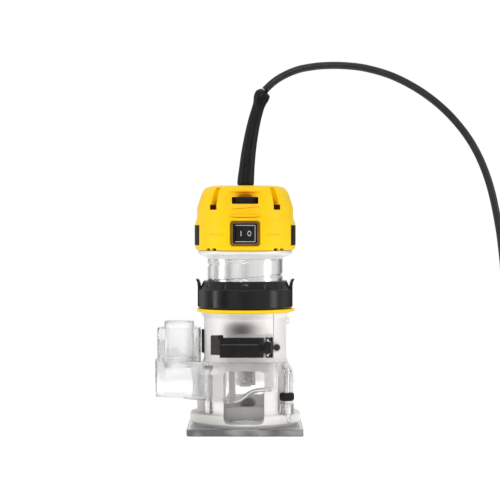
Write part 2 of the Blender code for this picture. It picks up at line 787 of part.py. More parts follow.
def smooth_route(points, spacing):
    """Points read at even steps from a smooth curve through the route's own points."""
    route = [Vector(point) for point in points]
    ends = [2 * route[0] - route[1], *route, 2 * route[-1] - route[-2]]
    fine = []
    for index in range(1, len(ends) - 2):
        a, b, c, d = ends[index - 1 : index + 3]
        for step in range(20):
            t = step / 20
            fine.append(
                0.5
                * (
                    2 * b
                    + (c - a) * t
                    + (2 * a - 5 * b + 4 * c - d) * t**2
                    + (3 * b - a - 3 * c + d) * t**3
                )
            )
    fine.append(route[-1])
    lengths = [0.0]
    for before, after in zip(fine, fine[1:]):
        lengths.append(lengths[-1] + (after - before).length)
    count = round(lengths[-1] / spacing)
    even = []
    index = 0
    for step in range(count):
        wanted = lengths[-1] * step / count
        while lengths[index + 1] < wanted:
            index += 1
        share = (wanted - lengths[index]) / (lengths[index + 1] - lengths[index])
        even.append(fine[index].lerp(fine[index + 1], share))
    return [*even, route[-1]]


def make_cord():
    points = smooth_route(CORD_ROUTE, CORD_POINT_EVERY)
    curve = bpy.data.curves.new("cord_tube", "CURVE")
    curve.dimensions = "3D"
    curve.bevel_depth = CORD_R * MM
    curve.bevel_resolution = 3
    curve.use_fill_caps = True
    spline = curve.splines.new("POLY")
    spline.points.add(len(points) - 1)
    for target, point in zip(spline.points, points):
        target.co = (*(point * MM), 1.0)
    curve.materials.append(RUBBER)
    tube = bpy.data.objects.new("cord_tube", curve)
    tube.parent = AXIS
    bpy.context.scene.collection.objects.link(tube)


def make_lead_pieces():
    add("cord_boot", swept(BOOT), RUBBER)
    section = [
        (COIL_INNER_R + 2, 0.1),
        (COIL_OUTER_R - 2, 0.1),
        (COIL_OUTER_R, 2.2),
        (COIL_OUTER_R, COIL_TOP - 3),
        (COIL_OUTER_R - 4, COIL_TOP),
        (COIL_INNER_R + 4, COIL_TOP),
        (COIL_INNER_R, COIL_TOP - 3),
        (COIL_INNER_R, 2.2),
    ]
    add("cord_coil", turned(section, 32, COIL_CENTRE), RUBBER)
    stations = ((0, 4.8), (18, 6.6), (22, 9.6), (30, 10.0), (54, 10.0))
    body = swept([(TAIL_X, PLUG_START + along, PLUG_Z, radius) for along, radius in stations])
    for vertex in body.verts:
        across = vertex.co.x - TAIL_X
        widening = min(max((vertex.co.y - PLUG_START - 16) / 12, 0), 1)
        vertex.co.x = TAIL_X + across * (1 + 0.7 * widening)
    add("plug", body, RUBBER)
    face = PLUG_START + 54 + GAP
    for side, sign in (("left", -1), ("right", 1)):
        pin = [(0, face), (2.4, face), (2.4, face + 17.7), (1.6, face + 19), (0, face + 19)]
        centre = (TAIL_X + sign * 9.5, PLUG_Z)
        add(f"plug_pin_{side}", turned(pin, 10, centre, "Y"), STEEL)


def main():
    plate = make_sub_base()
    casting = make_base_casting()
    make_plate_screws(plate, casting)
    make_clamp()
    make_dust_adaptor()
    make_adaptor_fittings(casting)
    make_clamp_lever()
    make_scale_ring()
    make_adjusting_ring()
    make_tabs()
    make_motor_housing()
    bridge = make_motor_inside()
    make_spindle()
    make_lock_button()
    make_cap(bridge)
    make_switch()
    make_speed_dial()
    make_lead_pieces()
    make_cord()


main()
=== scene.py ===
"""Looks of the trim router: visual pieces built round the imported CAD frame.

Shapes are drawn in millimetres from the motor's axis, with the front facing -Y, and
framed() moves them into the shared frame, which is in metres.
"""

import math

import bmesh
import bpy
from mathutils import Matrix, Vector


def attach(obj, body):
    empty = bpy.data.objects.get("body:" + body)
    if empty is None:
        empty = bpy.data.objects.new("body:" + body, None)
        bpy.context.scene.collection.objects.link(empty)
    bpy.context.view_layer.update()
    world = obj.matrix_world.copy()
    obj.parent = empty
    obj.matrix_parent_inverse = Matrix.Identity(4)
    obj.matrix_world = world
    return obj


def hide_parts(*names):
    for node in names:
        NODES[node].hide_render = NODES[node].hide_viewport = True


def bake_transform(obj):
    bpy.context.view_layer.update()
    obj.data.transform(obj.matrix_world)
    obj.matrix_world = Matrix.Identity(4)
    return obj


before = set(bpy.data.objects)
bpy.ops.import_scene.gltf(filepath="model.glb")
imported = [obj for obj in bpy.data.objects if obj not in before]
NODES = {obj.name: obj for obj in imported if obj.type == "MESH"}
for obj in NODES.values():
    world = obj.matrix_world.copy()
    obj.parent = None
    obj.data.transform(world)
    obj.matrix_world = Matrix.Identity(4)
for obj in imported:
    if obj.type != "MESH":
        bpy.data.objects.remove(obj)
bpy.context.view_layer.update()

MM = 0.001
AXIS_X = 15.6

# ---------------------------------------------------------------- materials

NOISE_ROUGHNESS = 0.55
NOISE_RANGE = (0.35, 0.65)


def grey(level):
    return (level, level, level, 1.0)


def add_node(tree, kind, inputs=None, **settings):
    """A shader node with its settings, and a value or a source for each named input."""
    node = tree.nodes.new("ShaderNode" + kind)
    for setting, value in settings.items():
        setattr(node, setting, value)
    for name, value in (inputs or {}).items():
        if isinstance(value, bpy.types.NodeSocket):
            tree.links.new(value, node.inputs[name])
        else:
            node.inputs[name].default_value = value
    return node


class Finish:
    """A Principled material. Its methods add procedural detail and return the finish.

    Scales are features to a metre. Depths, places and radii are in millimetres.
    """

    def __init__(self, name, color, roughness, metallic=0.0, specular=0.5, **sockets):
        self.name = name
        self.material = bpy.data.materials.new(name)
        self.material.use_nodes = True
        self.material.diffuse_color = (*color, 1.0)
        self.tree = self.material.node_tree
        self.shader = self.tree.nodes["Principled BSDF"]
        self.color = color
        sockets.update(Base_Color=(*color, 1.0), Roughness=roughness, Metallic=metallic,
                       Specular_IOR_Level=specular)
        for socket, value in sockets.items():
            self.shader.inputs[socket.replace("_", " ")].default_value = value
        self.place = self.add("TexCoord").outputs["Object"]

    def add(self, kind, inputs=None, **settings):
        return add_node(self.tree, kind, inputs, **settings)

    def feed(self, socket, source):
        self.tree.links.new(source, self.shader.inputs[socket])
        return self

    def noise(self, scale, detail=3.0, stretch=(1.0, 1.0, 1.0)):
        """Noise, drawn out along the axes by stretch."""
        scales = [scale * share for share in stretch]
        place = self.add("Mapping", {"Scale": scales, "Vector": self.place}).outputs["Vector"]
        inputs = {"Scale": 1.0, "Detail": detail, "Roughness": NOISE_ROUGHNESS, "Vector": place}
        return self.add("TexNoise", inputs).outputs["Fac"]

    def spread(self, source, low, high, at=NOISE_RANGE):
        """source stretched so that the range `at` runs from low to high."""
        limits = {"From Min": at[0], "From Max": at[1], "To Min": low, "To Max": high}
        return self.add("MapRange", {**limits, "Value": source}).outputs["Result"]

    def paint(self, factor, under, color):
        inputs = {"A": under, "B": (*color, 1.0), "Factor": factor}
        return self.feed("Base Color", self.add("Mix", inputs, data_type="RGBA").outputs["Result"])

    def tint(self, scale, other, at=NOISE_RANGE, detail=3.0):
        """Base colour that drifts between the finish's own and another one."""
        factor = self.spread(self.noise(scale, detail), 0.0, 1.0, at)
        return self.paint(factor, (*self.color, 1.0), other)

    def painted_shading(self, centre, radii, color, strength, core=0.35):
        """A painted patch of light and shade: another tone round centre, which fades from the share
        core of its radii.
        """
        centre = (centre[0] + AXIS_X, centre[1], centre[2])
        inputs = {
            "Scale": [1 / (radius * MM) for radius in radii],
            "Location": [-place / radius for place, radius in zip(centre, radii)],
            "Vector": self.place,
        }
        offset = self.add("Mapping", inputs).outputs["Vector"]
        distance = self.add("VectorMath", {0: offset}, operation="LENGTH").outputs["Value"]
        fade = self.spread(distance, strength, 0.0, (core, 1.0))
        fade.node.interpolation_type = "SMOOTHSTEP"
        return self.paint(fade, self.shader.inputs["Base Color"].links[0].from_socket, color)

    def rough(self, scale, low, high, **how):
        return self.feed("Roughness", self.spread(self.noise(scale, **how), low, high))

    def raise_by(self, source, depth):
        """Relief from a source. Calls add up."""
        inputs = {"Distance": depth * MM, "Strength": 1.0, "Height": source}
        normal = self.shader.inputs["Normal"]
        if normal.is_linked:
            inputs["Normal"] = normal.links[0].from_socket
        return self.feed("Normal", self.add("Bump", inputs).outputs["Normal"])

    def bump(self, scale, depth, detail=3.0, **how):
        return self.raise_by(self.noise(scale, detail, **how), depth)

    def ridges(self, scale, depth, distortion=0.0):
        """Wavy rings round the vertical."""
        inputs = {"Scale": scale, "Distortion": distortion, "Vector": self.place}
        waves = self.add("TexWave", inputs, bands_direction="Z")
        return self.raise_by(waves.outputs["Fac"], depth)


FINISH = {
    "cast": Finish("cast_aluminium", (0.85, 0.825, 0.81), 0.5, 0.3)
    .tint(90, (0.81, 0.785, 0.77)).rough(260, 0.42, 0.58)
    # Painted shade: a near-black patch in the finger scoop above the lever boss.
    .painted_shading((-4.5, -38, 94.8), (25, 10, 12), (0.09, 0.075, 0.068), 0.94, 0.15)
    # Painted shade: the flange darker and greener towards its front left.
    .painted_shading((-40, -34, 12), (46, 40, 12), (0.50, 0.52, 0.47), 0.8)
    # Painted light: the inside of the cage, behind the window, brightened towards white.
    .painted_shading((0, 34, 22), (34, 22, 30), (1.0, 0.99, 0.98), 1.0, 0.7)
    # Painted shade: a dark patch on the lower back wall inside the cage, in its scoop.
    .painted_shading((2, 36, 21), (10, 8, 6), (0.30, 0.28, 0.27), 0.9, 0.6)
    .bump(900, 0.05, 4).bump(3200, 0.02, 2),
    "turned": Finish("turned_aluminium", (0.88, 0.875, 0.87), 0.24, 0.9)
    .rough(1.0, 0.2, 0.23, stretch=(30, 30, 2600))
    .tint(40, (0.83, 0.82, 0.81)).bump(1.0, 0.0004, 4, stretch=(20, 20, 4200)),
    "satin": Finish("satin_aluminium", (0.86, 0.855, 0.84), 0.45, 0.4)
    .tint(70, (0.82, 0.81, 0.795)).rough(300, 0.38, 0.52).bump(1100, 0.012),
    "clear": Finish("clear_polycarbonate", (0.975, 0.975, 0.975), 0.04,
        IOR=1.46, Transmission_Weight=0.965, Alpha=0.9)
    .rough(120, 0.03, 0.07).bump(70, 0.05, 2),
    "smoke": Finish("smoked_plate", (0.72, 0.725, 0.71), 0.03, IOR=1.49, Transmission_Weight=1.0)
    .rough(160, 0.02, 0.10).tint(45, (0.64, 0.655, 0.645)).bump(60, 0.04, 2),
    "edge": Finish("smoked_cut_edge", (0.16, 0.17, 0.185), 0.12,
        IOR=1.49, Transmission_Weight=0.45)
    .tint(42, (0.42, 0.43, 0.43), (0.46, 0.6), 1).rough(300, 0.08, 0.2).bump(140, 0.03, 2),
    "yellow": Finish("yellow_plastic", (1.0, 0.66, 0.001), 0.36, specular=0.2)
    .tint(28, (0.97, 0.62, 0.001)).rough(200, 0.32, 0.44)
    # Painted shade: the upper front of the cap round the dial turned orange.
    .painted_shading((0, -40, 214), (22, 12, 20), (0.98, 0.52, 0.001), 0.7)
    # Painted shade: deep orange in the scoop above the speed dial.
    .painted_shading((0, -37.5, 217), (13, 7, 6), (0.62, 0.20, 0.001), 0.9)
    # Painted shade: deep orange down the two vent channels.
    .painted_shading((-24.0, -27.6, 208), (7, 7, 9), (0.60, 0.20, 0.001), 0.9)
    .painted_shading((24.0, -27.6, 208), (7, 7, 9), (0.60, 0.20, 0.001), 0.9)
    .bump(2600, 0.018, 2).bump(120, 0.03, 2),
    "black": Finish("black_plastic", (0.003, 0.0028, 0.003), 0.26, specular=0.18)
    .tint(150, (0.006, 0.0055, 0.0055)).rough(300, 0.2, 0.32).bump(2800, 0.012, 2),
    "gloss": Finish("glossy_black_plastic", (0.0025, 0.0022, 0.0025), 0.2, specular=0.34)
    .tint(120, (0.005, 0.0047, 0.005)).rough(90, 0.17, 0.24).bump(2400, 0.003, 2),
    # Wear on the thumb grip, and also the painted highlight line along the lever.
    "worn_and_highlight": Finish("handled_black_plastic_and_painted_highlight", (0.035, 0.033, 0.031), 0.5, specular=0.3)
    .tint(240, (0.055, 0.053, 0.05)).rough(500, 0.4, 0.6).bump(1700, 0.02),
    "grip": Finish("black_grip_plastic", (0.005, 0.005, 0.0053), 0.42, specular=0.22)
    .tint(180, (0.008, 0.008, 0.0083)).rough(500, 0.36, 0.52).bump(1700, 0.03),
    "rubber": Finish("black_rubber", (0.003, 0.003, 0.0033), 0.33, specular=0.2)
    .tint(120, (0.007, 0.007, 0.0075)).rough(400, 0.32, 0.44).bump(1500, 0.015, 4),
    "sheath": Finish("cord_sheath", (0.012, 0.012, 0.0135), 0.4, specular=0.35)
    .tint(90, (0.02, 0.02, 0.022)).rough(350, 0.34, 0.5).bump(900, 0.02),
    "label": Finish("black_label", (0.008, 0.008, 0.008), 0.5, specular=0.12)
    .tint(260, (0.014, 0.0135, 0.012)).rough(500, 0.45, 0.58).bump(900, 0.008, 2),
    "seal": Finish("amber_seal", (0.20, 0.095, 0.012), 0.35, specular=0.4)
    .tint(160, (0.14, 0.06, 0.010)).rough(400, 0.3, 0.42).bump(900, 0.01, 2),
    # Print, and also the painted highlights along the switch rim.
    "mark": Finish("pale_print_and_painted_highlight", (0.55, 0.55, 0.54), 0.5)
    .tint(900, (0.46, 0.46, 0.45)).bump(2500, 0.01),
    "steel": Finish("bright_steel", (0.70, 0.695, 0.68), 0.25, 1.0)
    .tint(300, (0.60, 0.59, 0.58)).rough(700, 0.18, 0.34).bump(900, 0.004, 2),
    "dark": Finish("black_steel", (0.035, 0.034, 0.034), 0.34, 0.85)
    .tint(400, (0.06, 0.058, 0.056)).rough(600, 0.26, 0.44).bump(1600, 0.015),
    "copper": Finish("enamelled_copper", (0.62, 0.23, 0.09), 0.35, 0.9)
    .tint(500, (0.45, 0.15, 0.06)).ridges(900, 0.25, 1.5),
    "core": Finish("stacked_laminations", (0.30, 0.30, 0.32), 0.45, 0.85)
    .tint(250, (0.20, 0.20, 0.21)).ridges(600, 0.12),
    "carbon": Finish("sintered_carbon", (0.045, 0.045, 0.047), 0.7)
    .tint(1500, (0.08, 0.08, 0.08)).bump(2500, 0.04),
    "board": Finish("potted_board", (0.03, 0.17, 0.07), 0.4)
    .tint(120, (0.02, 0.10, 0.04)).bump(500, 0.1),
    "floor": Finish("pale_floor", (0.93, 0.93, 0.925), 0.75, specular=0.1,
        Emission_Color=grey(1.0), Emission_Strength=0.42)
    .tint(6, (0.915, 0.915, 0.91)).bump(300, 0.02),
}

# A piece's CAD slot is the one that has its finish's name, or else the one given here. piece()
# works the slot out but does nothing more with it.
SLOT = {
    "satin": "turned_aluminium",
    "edge": "smoked_plate",
    "seal": "black_rubber",
    **dict.fromkeys(("gloss", "worn_and_highlight", "grip", "mark"), "black_plastic"),
}

# ---------------------------------------------------------------- shapes

NEARLY_STRAIGHT = math.radians(84)
FILLET_SHARE = 0.45
CURVE_STEPS = 20


def corner_arc(before, corner, after, radius, steps):
    """Points of a fillet that rounds the corner of a flat line."""
    corner = Vector(corner)
    back = Vector(before) - corner
    ahead = Vector(after) - corner
    reach_limit = FILLET_SHARE * min(back.length, ahead.length)
    back.normalize()
    ahead.normalize()
    half = back.angle(ahead) / 2
    if half > NEARLY_STRAIGHT:
        return [corner]
    reach = min(radius / math.tan(half), reach_limit)
    start = corner + back * reach
    end = corner + ahead * reach
    shares = [step / steps for step in range(steps + 1)]
    return [(1 - t) ** 2 * start + 2 * t * (1 - t) * corner + t**2 * end for t in shares]


def soften(outline, radius, steps=3, closed=True):
    """The outline with every corner filleted."""
    points = []
    count = len(outline)
    for index, corner in enumerate(outline):
        if not closed and index in (0, count - 1):
            points.append(Vector(corner))
            continue
        before = outline[index - 1]
        after = outline[(index + 1) % count]
        points += corner_arc(before, corner, after, radius, steps)
    return [tuple(point) for point in points]


def oriented(across, along, height, axis):
    """The point for coordinates that are given round one axis."""
    if axis == "Z":
        return (across, along, height)
    if axis == "Y":
        return (across, height, along)
    return (height, across, along)


def join_rings(bm, first, second):
    """Faces between two rings of vertices. A ring of one vertex is a pole."""
    count = max(len(first), len(second))
    for step in range(count):
        after = (step + 1) % count
        corners = [
            first[step % len(first)],
            first[after % len(first)],
            second[after % len(second)],
            second[step % len(second)],
        ]
        unique = list(dict.fromkeys(corners))
        if len(unique) > 2:
            bm.faces.new(unique)


def outward(bm):
    bmesh.ops.recalc_face_normals(bm, faces=bm.faces)
    return bm


def turned(profile, steps=96, centre=(0.0, 0.0), axis="Z", edge=0.0, relief=None):
    """A solid turned from (radius, height) points, in order round its section.

    edge fillets the section's corners. relief(angle, radius, height) gives a new radius,
    with the angle in degrees from the front, positive to the right.
    """
    closed = profile[0][0] > 0 and profile[-1][0] > 0
    if edge:
        profile = soften(profile, edge, 3, closed)
    bm = bmesh.new()
    rings = []
    for radius, height in profile:
        ring = []
        for step in range(steps if radius > 1e-6 else 1):
            angle = 2 * math.pi * step / steps
            reach = relief(math.degrees(angle), radius, height) if relief else radius
            across = centre[0] + reach * math.sin(angle)
            along = centre[1] - reach * math.cos(angle)
            ring.append(bm.verts.new(oriented(across, along, height, axis)))
        rings.append(ring)
    for first, second in zip(rings, rings[1:]):
        join_rings(bm, first, second)
    if closed:
        join_rings(bm, rings[-1], rings[0])
    return outward(bm)


def rectangle(x, y):
    """The corners between two pairs, each low and high."""
    return [(x[0], y[0]), (x[1], y[0]), (x[1], y[1]), (x[0], y[1])]


def rod(radius, low, high, steps=32, centre=(0.0, 0.0), axis="Z", edge=0.0):
    return turned(rectangle((0, radius), (low, high)), steps, centre, axis, edge)


def capped(*rings):
    """A solid through rings of points, one to one, with flat ends."""
    bm = bmesh.new()
    rings = [[bm.verts.new(point) for point in ring] for ring in rings]
    for first, second in zip(rings, rings[1:]):
        join_rings(bm, first, second)
    bm.faces.new(rings[0])
    bm.faces.new(list(reversed(rings[-1])))
    return outward(bm)


def prism(outline, low, high, axis="Z"):
    return capped(*([oriented(*point, end, axis) for point in outline] for end in (low, high)))


def block(x, y, z):
    return prism(rectangle(x, y), *z)


def round_block(x, y, z, radius, axis="Y", steps=6):
    """A box whose edges along one axis are round. The pairs are low and high."""
    across, along, span = {"X": (y, z, x), "Y": (x, z, y), "Z": (x, y, z)}[axis]
    return prism(soften(rectangle(across, along), radius, steps), *span, axis)


def ball(centre, radii):
    bm = bmesh.new()
    bmesh.ops.create_uvsphere(bm, u_segments=48, v_segments=24, radius=1.0)
    for vertex in bm.verts:
        vertex.co = Vector(c + r * v for c, r, v in zip(centre, radii, vertex.co))
    return bm


def arc(radius, start, end, steps):
    """Points of an arc round the axis. Angles run from the front, positive to the right."""
    angles = [math.radians(start + (end - start) * step / steps) for step in range(steps + 1)]
    return [(radius * math.sin(angle), -radius * math.cos(angle)) for angle in angles]


def sector(outer, inner, start, end, steps):
    """The outline between two arcs."""
    return arc(outer, start, end, steps) + arc(inner, end, start, steps)


def tube(points, radii, sides):
    """A round bar along points, with closed ends. radii is one number or one a point."""
    if not isinstance(radii, (list, tuple)):
        radii = [radii] * len(points)
    points = [Vector(point) for point in points]
    rings = []
    side = None
    for index, point in enumerate(points):
        before = points[max(index - 1, 0)]
        after = points[min(index + 1, len(points) - 1)]
        ahead = (after - before).normalized()
        if side is None:
            level = Vector((0, 1, 0)) if abs(ahead.y) < 0.9 else Vector((0, 0, 1))
            side = level.cross(ahead).normalized()
        side = (side - ahead * side.dot(ahead)).normalized()
        up = ahead.cross(side)
        ring = []
        for step in range(sides):
            angle = 2 * math.pi * step / sides
            ring.append(point + (side * math.cos(angle) + up * math.sin(angle)) * radii[index])
        rings.append(ring)
    return capped(*rings)


def smooth_route(points, spacing):
    """Points read at even steps from a smooth curve through the route's own points."""
    route = [Vector(point) for point in points]
    ends = [2 * route[0] - route[1], *route, 2 * route[-1] - route[-2]]
    fine = []
    for index in range(1, len(ends) - 2):
        a, b, c, d = ends[index - 1 : index + 3]
        for step in range(CURVE_STEPS):
            t = step / CURVE_STEPS
            flat = 2 * b + (c - a) * t + (2 * a - 5 * b + 4 * c - d) * t**2
            fine.append(0.5 * (flat + (3 * b - a - 3 * c + d) * t**3))
    fine.append(route[-1])
    lengths = [0.0]
    for before, after in zip(fine, fine[1:]):
        lengths.append(lengths[-1] + (after - before).length)
    count = round(lengths[-1] / spacing)
    even = []
    index = 0
    for step in range(count):
        wanted = lengths[-1] * step / count
        while lengths[index + 1] < wanted:
            index += 1
        share = (wanted - lengths[index]) / (lengths[index + 1] - lengths[index])
        even.append(fine[index].lerp(fine[index + 1], share))
    return [*even, route[-1]]


def turn(bm, angle, axis="Z", about=(0, 0, 0)):
    spin = Matrix.Rotation(math.radians(angle), 3, axis)
    bmesh.ops.rotate(bm, verts=bm.verts, cent=about, matrix=spin)
    return bm


def plain_object(bm, name="shape"):
    mesh = bpy.data.meshes.new(name)
    bm.to_mesh(mesh)
    bm.free()
    obj = bpy.data.objects.new(name, mesh)
    bpy.context.scene.collection.objects.link(obj)
    return obj


def carve(base, steps):
    """base after its Booleans, in order. A step is a shape to cut, or ("join", shape)."""
    obj = plain_object(base)
    helpers = []
    for step in steps:
        kind, shape = step if isinstance(step, tuple) else ("cut", step)
        helpers.append(plain_object(shape))
        modifier = obj.modifiers.new(kind, "BOOLEAN")
        modifier.operation = "UNION" if kind == "join" else "DIFFERENCE"
        modifier.object = helpers[-1]
    graph = bpy.context.evaluated_depsgraph_get()
    mesh = bpy.data.meshes.new_from_object(obj.evaluated_get(graph))
    result = bmesh.new()
    result.from_mesh(mesh)
    bpy.data.meshes.remove(mesh)
    for used in [obj, *helpers]:
        data = used.data
        bpy.data.objects.remove(used)
        bpy.data.meshes.remove(data)
    return result


def framed(name, bm, finish):
    """The shape as a smooth object in the shared frame, with its finish."""
    for vertex in bm.verts:
        vertex.co = (vertex.co + Vector((AXIS_X, 0, 0))) * MM
    obj = plain_object(bm, name)
    obj.data.materials.append(FINISH[finish].material)
    obj.data.shade_smooth()
    return obj


def piece(name, bm, finish, body, nodes=(), bevel=0.0, segments=2, smooth=32, slot=None):
    """One visual piece that rides on its body, in place of the CAD nodes it names."""
    obj = framed(name, bm, finish)
    if bevel:
        modifier = obj.modifiers.new("edges", "BEVEL")
        modifier.width = bevel * MM
        modifier.segments = segments
        modifier.limit_method = "ANGLE"
        modifier.angle_limit = math.radians(smooth)
        modifier.harden_normals = True
        modifier.use_clamp_overlap = True
    else:
        obj.data.set_sharp_from_angle(angle=math.radians(smooth))
    slot = slot or SLOT.get(finish, FINISH[finish].name)
    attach(obj, body)
    if nodes:
        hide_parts(*nodes)
    return obj


# ---------------------------------------------------------------- fixed base

SIDES = (("left", -1), ("right", 1))
SCREW_PLACES = [(sx * 32.53, sy * 32.53) for sx in (1, -1) for sy in (1, -1)]
STUD = (38.2, -31.0)
LEFT_SCREW = (-33.2, -27.6)
OUTLET = (-61.5, 4.5)
SHELL_R = 48.6
WALL = 2
BORE_R = 35.35
# The shield's lower edge, which sweeps up from the duct to the right: x and z.
LOWER_EDGE = ((-17, 31.0), (-13, 31.0), (-9, 31.3), (-5, 32.6), (0, 36.0), (5, 39.2),
              (10, 40.8), (16, 41.4), (24, 41.6))
PIVOT = (22, -46.8)
BOLT = (-39.4, 80)
STOP = (28.8, 79.7)


def make_sub_base():
    outline = soften(rectangle((-52.8, 52.8), (-52.8, 52.8)), 3.5, 6)
    holes = [turned([(0, -1), (19.4, -1), (20, 0.6), (20, 5.6), (20.6, 7), (0, 7)])]
    way = [(0, -1), (4.2, -1), (4.0, 1.75), (2.05, 3.75), (2.05, 8), (0, 8)]
    holes += [turned(way, 32, place) for place in SCREW_PLACES]
    plate = carve(prism(outline, 0, 6.2), holes)
    piece("clear_square_plate", plate, "smoke", "base", ["sub_base"], 0.5, 3)
    outer, inner = ([(share * x, share * y) for x, y in outline] for share in (1.002, 0.993))
    band = carve(prism(outer, 0.5, 5.7), [prism(inner, -1, 8)])
    piece("plate_cut_edge", band, "edge", "base")
    profile = [(0, 0.9), (3.6, 0.9), (3.6, 1.5), (1.7, 3.4), (1.7, 13), (0, 13)]
    for number, (x, y) in enumerate(SCREW_PLACES, 1):
        slots = []
        for angle in (0, 90):
            slot = block((x - 2.2, x + 2.2), (y - 0.45, y + 0.45), (0, 1.7))
            slots.append(turn(slot, angle + 20 * number, about=(x, y, 0)))
        screw = carve(turned(profile, 32, (x, y), edge=0.15), slots)
        piece(f"plate_screw_{number}", screw, "steel", "base", [f"sub_base_screw_{number}"])


SCOOP_DEPTH = 2.1
SCOOP_ANGLE = 24
SCOOP_FLAT_TOP = 95.5
SCOOP_FADE = 6.5


def barrel_relief(angle, radius, height):
    """A shallow finger scoop in the front of the barrel, above the lever boss."""
    if radius < 37.5 or not 89 < height < 106:
        return radius
    angle = (angle + 180) % 360 - 180
    lift = max(0.0, height - SCOOP_FLAT_TOP) / SCOOP_FADE
    return radius - SCOOP_DEPTH * math.exp(-((angle / SCOOP_ANGLE) ** 4) - lift**2)


def make_base_casting():
    flange = [(27, 6.5), (48.4, 6.5), (51.4, 9.4), (51.4, 16.4), (50.2, 17.8), (45.2, 17.8)]
    cage = [(45.2, 18.4), (45.2, 50), (43.6, 57), (40.2, 62.4), (38.2, 67.5), (38.2, 90)]
    profile = soften(flange, 1.2, 4, False) + soften(cage, 5, 6, False)
    profile += [(38.2, 91 + 0.75 * step) for step in range(19)]
    profile += [(38.7, 105.4), (39.6, 107), (40.9, 108.4), (41.6, 109.3), (41.6, 110.1)]
    profile += [(BORE_R, 110.1), (BORE_R, 62), (36.5, 60), (36.5, 19.4), (34.9, 17.8), (27, 17.8)]
    steps = [
        ("join", round_block((-16, 26), (-42, -30), (66, 91.6), 2.5)),
        ("join", round_block((20, 32), (-41.9, -15), (75.5, 83.5), 2.2)),
        ("join", round_block((36.8, 41.0), (-6, -1), (98.7, 104.8), 1.6)),
        rod(BORE_R, 58, 112, 144),
        rod(1.2, -10, 4, 20, (39.2, 101.7), "Y"),
        block((-19.5, 17.5), (-60, -12.5), (18.1, 50)),
        round_block((-19.5, 17.5), (-60, -12.5), (10, 58), 6, steps=10),
        round_block((-19, 19), (12.5, 60), (29, 54), 6, steps=10),
        round_block((30, 60), (-60, -20), (18.1, 54), 3),
        round_block((-60, -28.6), (-60, -10), (18.1, 54), 3),
        round_block((33, 60), (-45, -20), (50, 72), 3),
        block((25.9, 26.25), (-60, -20), (52, 112)),
        rod(2.3, -20, 40, 32, BOLT, "X"),
        rod(3.0, 9.8, 22, 32, STUD),
        rod(2.2, 9.8, 22, 32, LEFT_SCREW),
        rod(4.9, 50, 70, 40, LEFT_SCREW),
        ball((-1, 37.2, 22.5), (12.5, 3.0, 5.0)),
    ]
    steps += [rod(2.05, 4, 13.4, 32, place) for place in SCREW_PLACES]
    casting = carve(turned(profile, 144, relief=barrel_relief), steps)
    piece("cast_base_body", casting, "cast", "base", ["base_casting"], 0.35, 2)


def make_clamp():
    bolt = [(0, -20.5), (3.6, -20.5), (3.6, -16.4), (2, -16.4), (2, 31), (0, 31)]
    bolt = carve(turned(bolt, 32, BOLT, "X", 0.3), [rod(1.7, -22, -18.4, 6, BOLT, "X")])
    piece("clamp_bolt_head", bolt, "steel", "base", ["clamp_bolt"])
    stop = rod(3.0, -44.9, -42.2, 40, STOP, "Y", edge=0.7)
    stop = carve(stop, [rod(1.5, -46, -43.6, 6, STOP, "Y")])
    piece("clamp_stop_screw", stop, "dark", "base", ["clamp_adjusting_screw"])
    fork = round_block((18.7, 25.3), (-49, -42.3), (70.9, 89.1), 1.2, "Z")
    fork = carve(fork, [block((15, 35), (-55, -43.1), (74.4, 85.6)), rod(1.6, 60, 100, 32, PIVOT)])
    piece("lever_fork", fork, "gloss", "base", ["lever_bracket"], 0.5, 3, slot="black_steel")
    pin = rod(1.3, 70.6, 89.4, 32, PIVOT, edge=0.4)
    piece("lever_hinge_pin", pin, "steel", "base", ["lever_pin"])
    for number, height in enumerate((73.3, 86.7), 1):
        rivet = rod(1.25, -49.5, -48.6, 32, (20.6, height), "Y", edge=0.5)
        piece(f"fork_rivet_{number}", rivet, "steel", "base")


def duct_line(x, distance=SHELL_R):
    """The y of the duct's slanted front wall, which touches the round shield."""
    return -(distance + 0.6 * x) / 0.8


def rounded_under(outline, low, high, radius, far):
    """A prism whose lower edges are rounded where they lie left of x = far."""
    shape = prism(outline, low, high)
    edges = [
        edge
        for edge in shape.edges
        if all(abs(v.co.z - low) < 0.01 for v in edge.verts)
        and min(v.co.x for v in edge.verts) < far
    ]
    bmesh.ops.bevel(shape, geom=edges, offset=radius, segments=6, profile=0.5, affect="EDGES",
                    clamp_overlap=True)
    return outward(shape)


